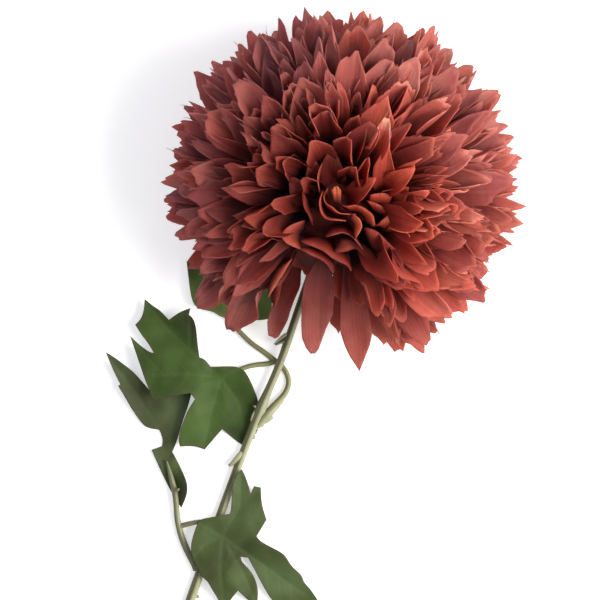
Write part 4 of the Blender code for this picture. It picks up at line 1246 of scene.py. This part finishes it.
def refined(solid, name, crease_angle, levels, material):
    """A finer copy of a solid: its triangles joined, and rounded between its sharp edges."""
    build = bmesh.new()
    build.from_mesh(solid.data)
    bmesh.ops.remove_doubles(build, verts=build.verts, dist=WELD)
    bmesh.ops.join_triangles(build, faces=build.faces, angle_face_threshold=FLAT, angle_shape_threshold=FLAT)
    crease = build.edges.layers.float.new("crease_edge")
    for edge in build.edges:
        if len(edge.link_faces) == 2 and edge.calc_face_angle() > crease_angle:
            edge[crease] = 1.0
    mesh = bpy.data.meshes.new(name)
    build.to_mesh(mesh)
    build.free()
    item = linked(name, mesh)
    round_off(item, levels)
    item.data.materials.clear()
    item.data.materials.append(material)
    item.data.shade_smooth()
    return item


def points_of(mesh):
    points = np.zeros(len(mesh.vertices) * 3, np.float32)
    mesh.vertices.foreach_get("co", points)
    return points.reshape(-1, 3).astype(float)


def normals_of(mesh):
    return np.array([vertex.normal for vertex in mesh.vertices])


def put_points(mesh, points):
    """Moves a mesh's points, and lifts those that would lie under the surface."""
    points[:, 2] = np.maximum(points[:, 2], 0)
    mesh.vertices.foreach_set("co", points.astype(np.float32).ravel())
    mesh.update()


def near(points, place, reach):
    """How near points lie to a grid place, from 1 there down to 0."""
    apart = np.hypot(*(to_grid(points) - np.array(place)).T)
    return np.exp(-(apart / reach) ** 2)


def vein_lines(places, veins):
    """Distance to the nearest vein, and the distance along it with its side veins' slant taken off."""
    nearest = np.full(len(places), 1e9)
    slanted = np.zeros(len(places))
    for vein in veins:
        run = 0.0
        for start, end in zip(vein, vein[1:]):
            start = np.array(start)
            span = np.array(end) - start
            length = np.hypot(*span)
            along = np.clip((places - start) @ span / length ** 2, 0, 1)
            apart = np.hypot(*(places - start - along[:, None] * span).T)
            closer = apart < nearest
            nearest[closer] = apart[closer]
            slanted[closer] = (run + along * length - 0.9 * apart)[closer]
            run += length
    return nearest, slanted


def make_leaf(solids, node, material):
    """One leaf with its veins sunk in, a soft wave and a browner cut edge."""
    item = refined(solids[node], node + "_fine", LEAF_CREASE, LEAF_LEVELS, material)
    mesh = item.data
    points = points_of(mesh)
    tint, light, veins, painted_shades = LEAVES[node]
    steep = np.abs(normals_of(mesh)[:, 2]) < CUT_STEEP
    tree = kdtree.KDTree(int(steep.sum()))
    for index, point in enumerate(points[steep]):
        tree.insert(point, index)
    tree.balance()
    rim = np.array([tree.find(point)[2] for point in points]) / MM
    nearest, slanted = vein_lines(to_grid(points), veins)
    main = np.exp(-(nearest / VEIN_WIDTH) ** 2)
    twigs = np.exp(-((slanted % TWIG_STEP - TWIG_STEP / 2) / TWIG_WIDTH) ** 2)
    twigs *= np.exp(-(nearest / TWIG_REACH) ** 2)
    waves = np.array([noise_field.noise(Vector(point) * 90) for point in points])
    lift = LEAF_WAVE * waves * np.clip(points[:, 2] / MM / 1.5, 0, 1)
    lift -= (VEIN_DEPTH * main + TWIG_DEPTH * twigs) * np.clip(points[:, 2] / MM - 0.6, 0, 1)
    points[:, 2] += lift * MM
    put_points(mesh, points)
    store(mesh, "vein", np.clip(main + 0.35 * twigs, 0, 1))
    store(mesh, "edge", np.exp(-rim / CUT_WIDTH))
    store(mesh, "tint", np.full(len(points), tint))
    # Painted light for the whole leaf, then painted shade and light in areas
    shade = np.full(len(points), light)
    for place, radius, share in painted_shades:
        shade *= 1 + share * near(points, place, radius)
    store(mesh, "light", shade)
    dress(item, (node,), "leaves")


def make_stem(solids, node, groove_depth, material):
    """A stem or shoot rounded from its solid, with a groove a little left of its middle."""
    item = refined(solids[node], node + "_fine", STEM_CREASE, STEM_LEVELS, material)
    mesh = item.data
    points = points_of(mesh)
    normals = normals_of(mesh)
    right = np.array([-math.sin(STEM_AZIMUTH), math.cos(STEM_AZIMUTH), 0.0])
    side = normals @ right
    groove = np.exp(-((side - GROOVE_AT) / GROOVE_WIDTH) ** 2) * (normals[:, 2] > 0)
    points += normals * (STEM_SWELL * MM - groove_depth * MM * groove)[:, None]
    if node == "side_branch":
        thinned = BRANCH_THINNED * MM * near(points, BRANCH_END, BRANCH_TAPER)
        points -= normals * thinned[:, None]
        share = near(points, BRANCH_FOOT, FOOT_REACH)[:, None]
        points += share * MM * (np.array(FOOT_SHIFT) - FOOT_THINNED * normals)
    put_points(mesh, points)
    # Painted light and shade: which way each side faces, right or left, for the material
    store(mesh, "side", 0.5 + 0.5 * side)
    # The groove's mask, for the painted shade in it
    store(mesh, "groove", groove if groove_depth else np.zeros(len(points)))
    dress(item, (node,), node)


def make_bars(material):
    """The scales and stubs on the stem, and the sheath that the side shoot springs from."""
    points = []
    faces = []
    values = {"side": [], "groove": []}
    right = Vector((-math.sin(STEM_AZIMUTH), math.cos(STEM_AZIMUTH), 0))
    for places, pale in STEM_BARS:
        corners = [Vector((*in_plan(u, v, GRID), h, radius)) for u, v, h, radius in places]
        line = smooth_line(corners, BAR_STEP)
        first = len(points)
        for index, place in enumerate(line):
            ahead = (line[min(index + 1, len(line) - 1)] - line[max(index - 1, 0)]).to_3d().normalized()
            across = ahead.cross(UP).normalized()
            above = across.cross(ahead)
            for side in range(BAR_SIDES):
                turn = 2 * math.pi * side / BAR_SIDES
                out = across * math.cos(turn) + above * math.sin(turn)
                points.append(place.to_3d() + out * place[3])
                # Painted light and shade by which way the side faces, as on the stem, with pale bars taking
                # more of the pale colour
                values["side"].append(0.5 + 0.5 * out.dot(right) * (1 - pale) + 0.4 * pale)
        faces += tube_faces(first, len(line) - 1, BAR_SIDES)
        faces.append(tuple(reversed(range(first, first + BAR_SIDES))))
        faces.append(tuple(range(len(points) - BAR_SIDES, len(points))))
    values["groove"] = [0.0] * len(points)
    item = new_object("stem_scales", points, faces, material, values)
    round_off(item, 1)
    dress(item, ("stem",), "stem")


def make_greens(solids):
    """The leaves, the stem with its scales, and the other moulded pieces."""
    leaves = leaf_material()
    for node in LEAVES:
        make_leaf(solids, node, leaves)
    for node, colours in STEM_LIT_AND_SHADED_COLOURS.items():
        material = stem_material(node, *colours)
        if node == "stem":
            make_stem(solids, node, GROOVE_DEPTH, material)
            make_bars(material)
        else:
            make_stem(solids, node, 0.0, material)


# Stage


def area_light(name, place, size, power, colour):
    """A soft light that shines at the bloom."""
    light = bpy.data.lights.new(name, "AREA")
    light.size = size
    light.energy = power
    light.color = colour
    item = linked(name, light)
    item.location = to_row((0, 0, LIT_HEIGHT)) + Vector(place)
    item.rotation_euler = (-Vector(place)).to_track_quat("-Z", "Y").to_euler()


def make_stage():
    """The floor, the camera, the lights and the sky."""
    mesh = bpy.data.meshes.new("floor")
    corners = [(x * FLOOR_HALF, y * FLOOR_HALF, 0) for x, y in ((-1, -1), (1, -1), (1, 1), (-1, 1))]
    mesh.from_pydata(corners, [], [(0, 1, 2, 3)])
    floor = linked("floor", mesh)
    look = Shading("floor", 0.9)
    look.put((0.92, 0.92, 0.92), look.sockets["Base Color"])
    look.put((1.0, 1.0, 1.0), look.sockets["Emission Color"])
    look.put(0.42, look.sockets["Emission Strength"])
    mesh.materials.append(look.material)

    data = bpy.data.cameras.new("camera")
    data.sensor_width = SENSOR
    data.lens = SENSOR / VIEW_SHARE
    camera = linked("camera", data)
    camera.location = to_row((*VIEW_AT, VIEW_HEIGHT))
    bpy.context.scene.camera = camera

    for name, settings in LIGHTS.items():
        area_light(name, *settings)
    world = bpy.data.worlds.new("studio")
    bpy.context.scene.world = world
    world.use_nodes = True
    sky = world.node_tree.nodes["Background"].inputs
    sky["Color"].default_value = SKY_COLOUR
    sky["Strength"].default_value = SKY_STRENGTH
    bpy.context.scene.view_settings.view_transform = "Standard"


def main():
    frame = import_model()
    make_stage()
    petals = petal_material()
    make_petals(petals)
    make_between(petals)
    make_whorl(petals)
    make_core(petals)
    make_greens(frame["nodes"])
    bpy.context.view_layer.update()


main()
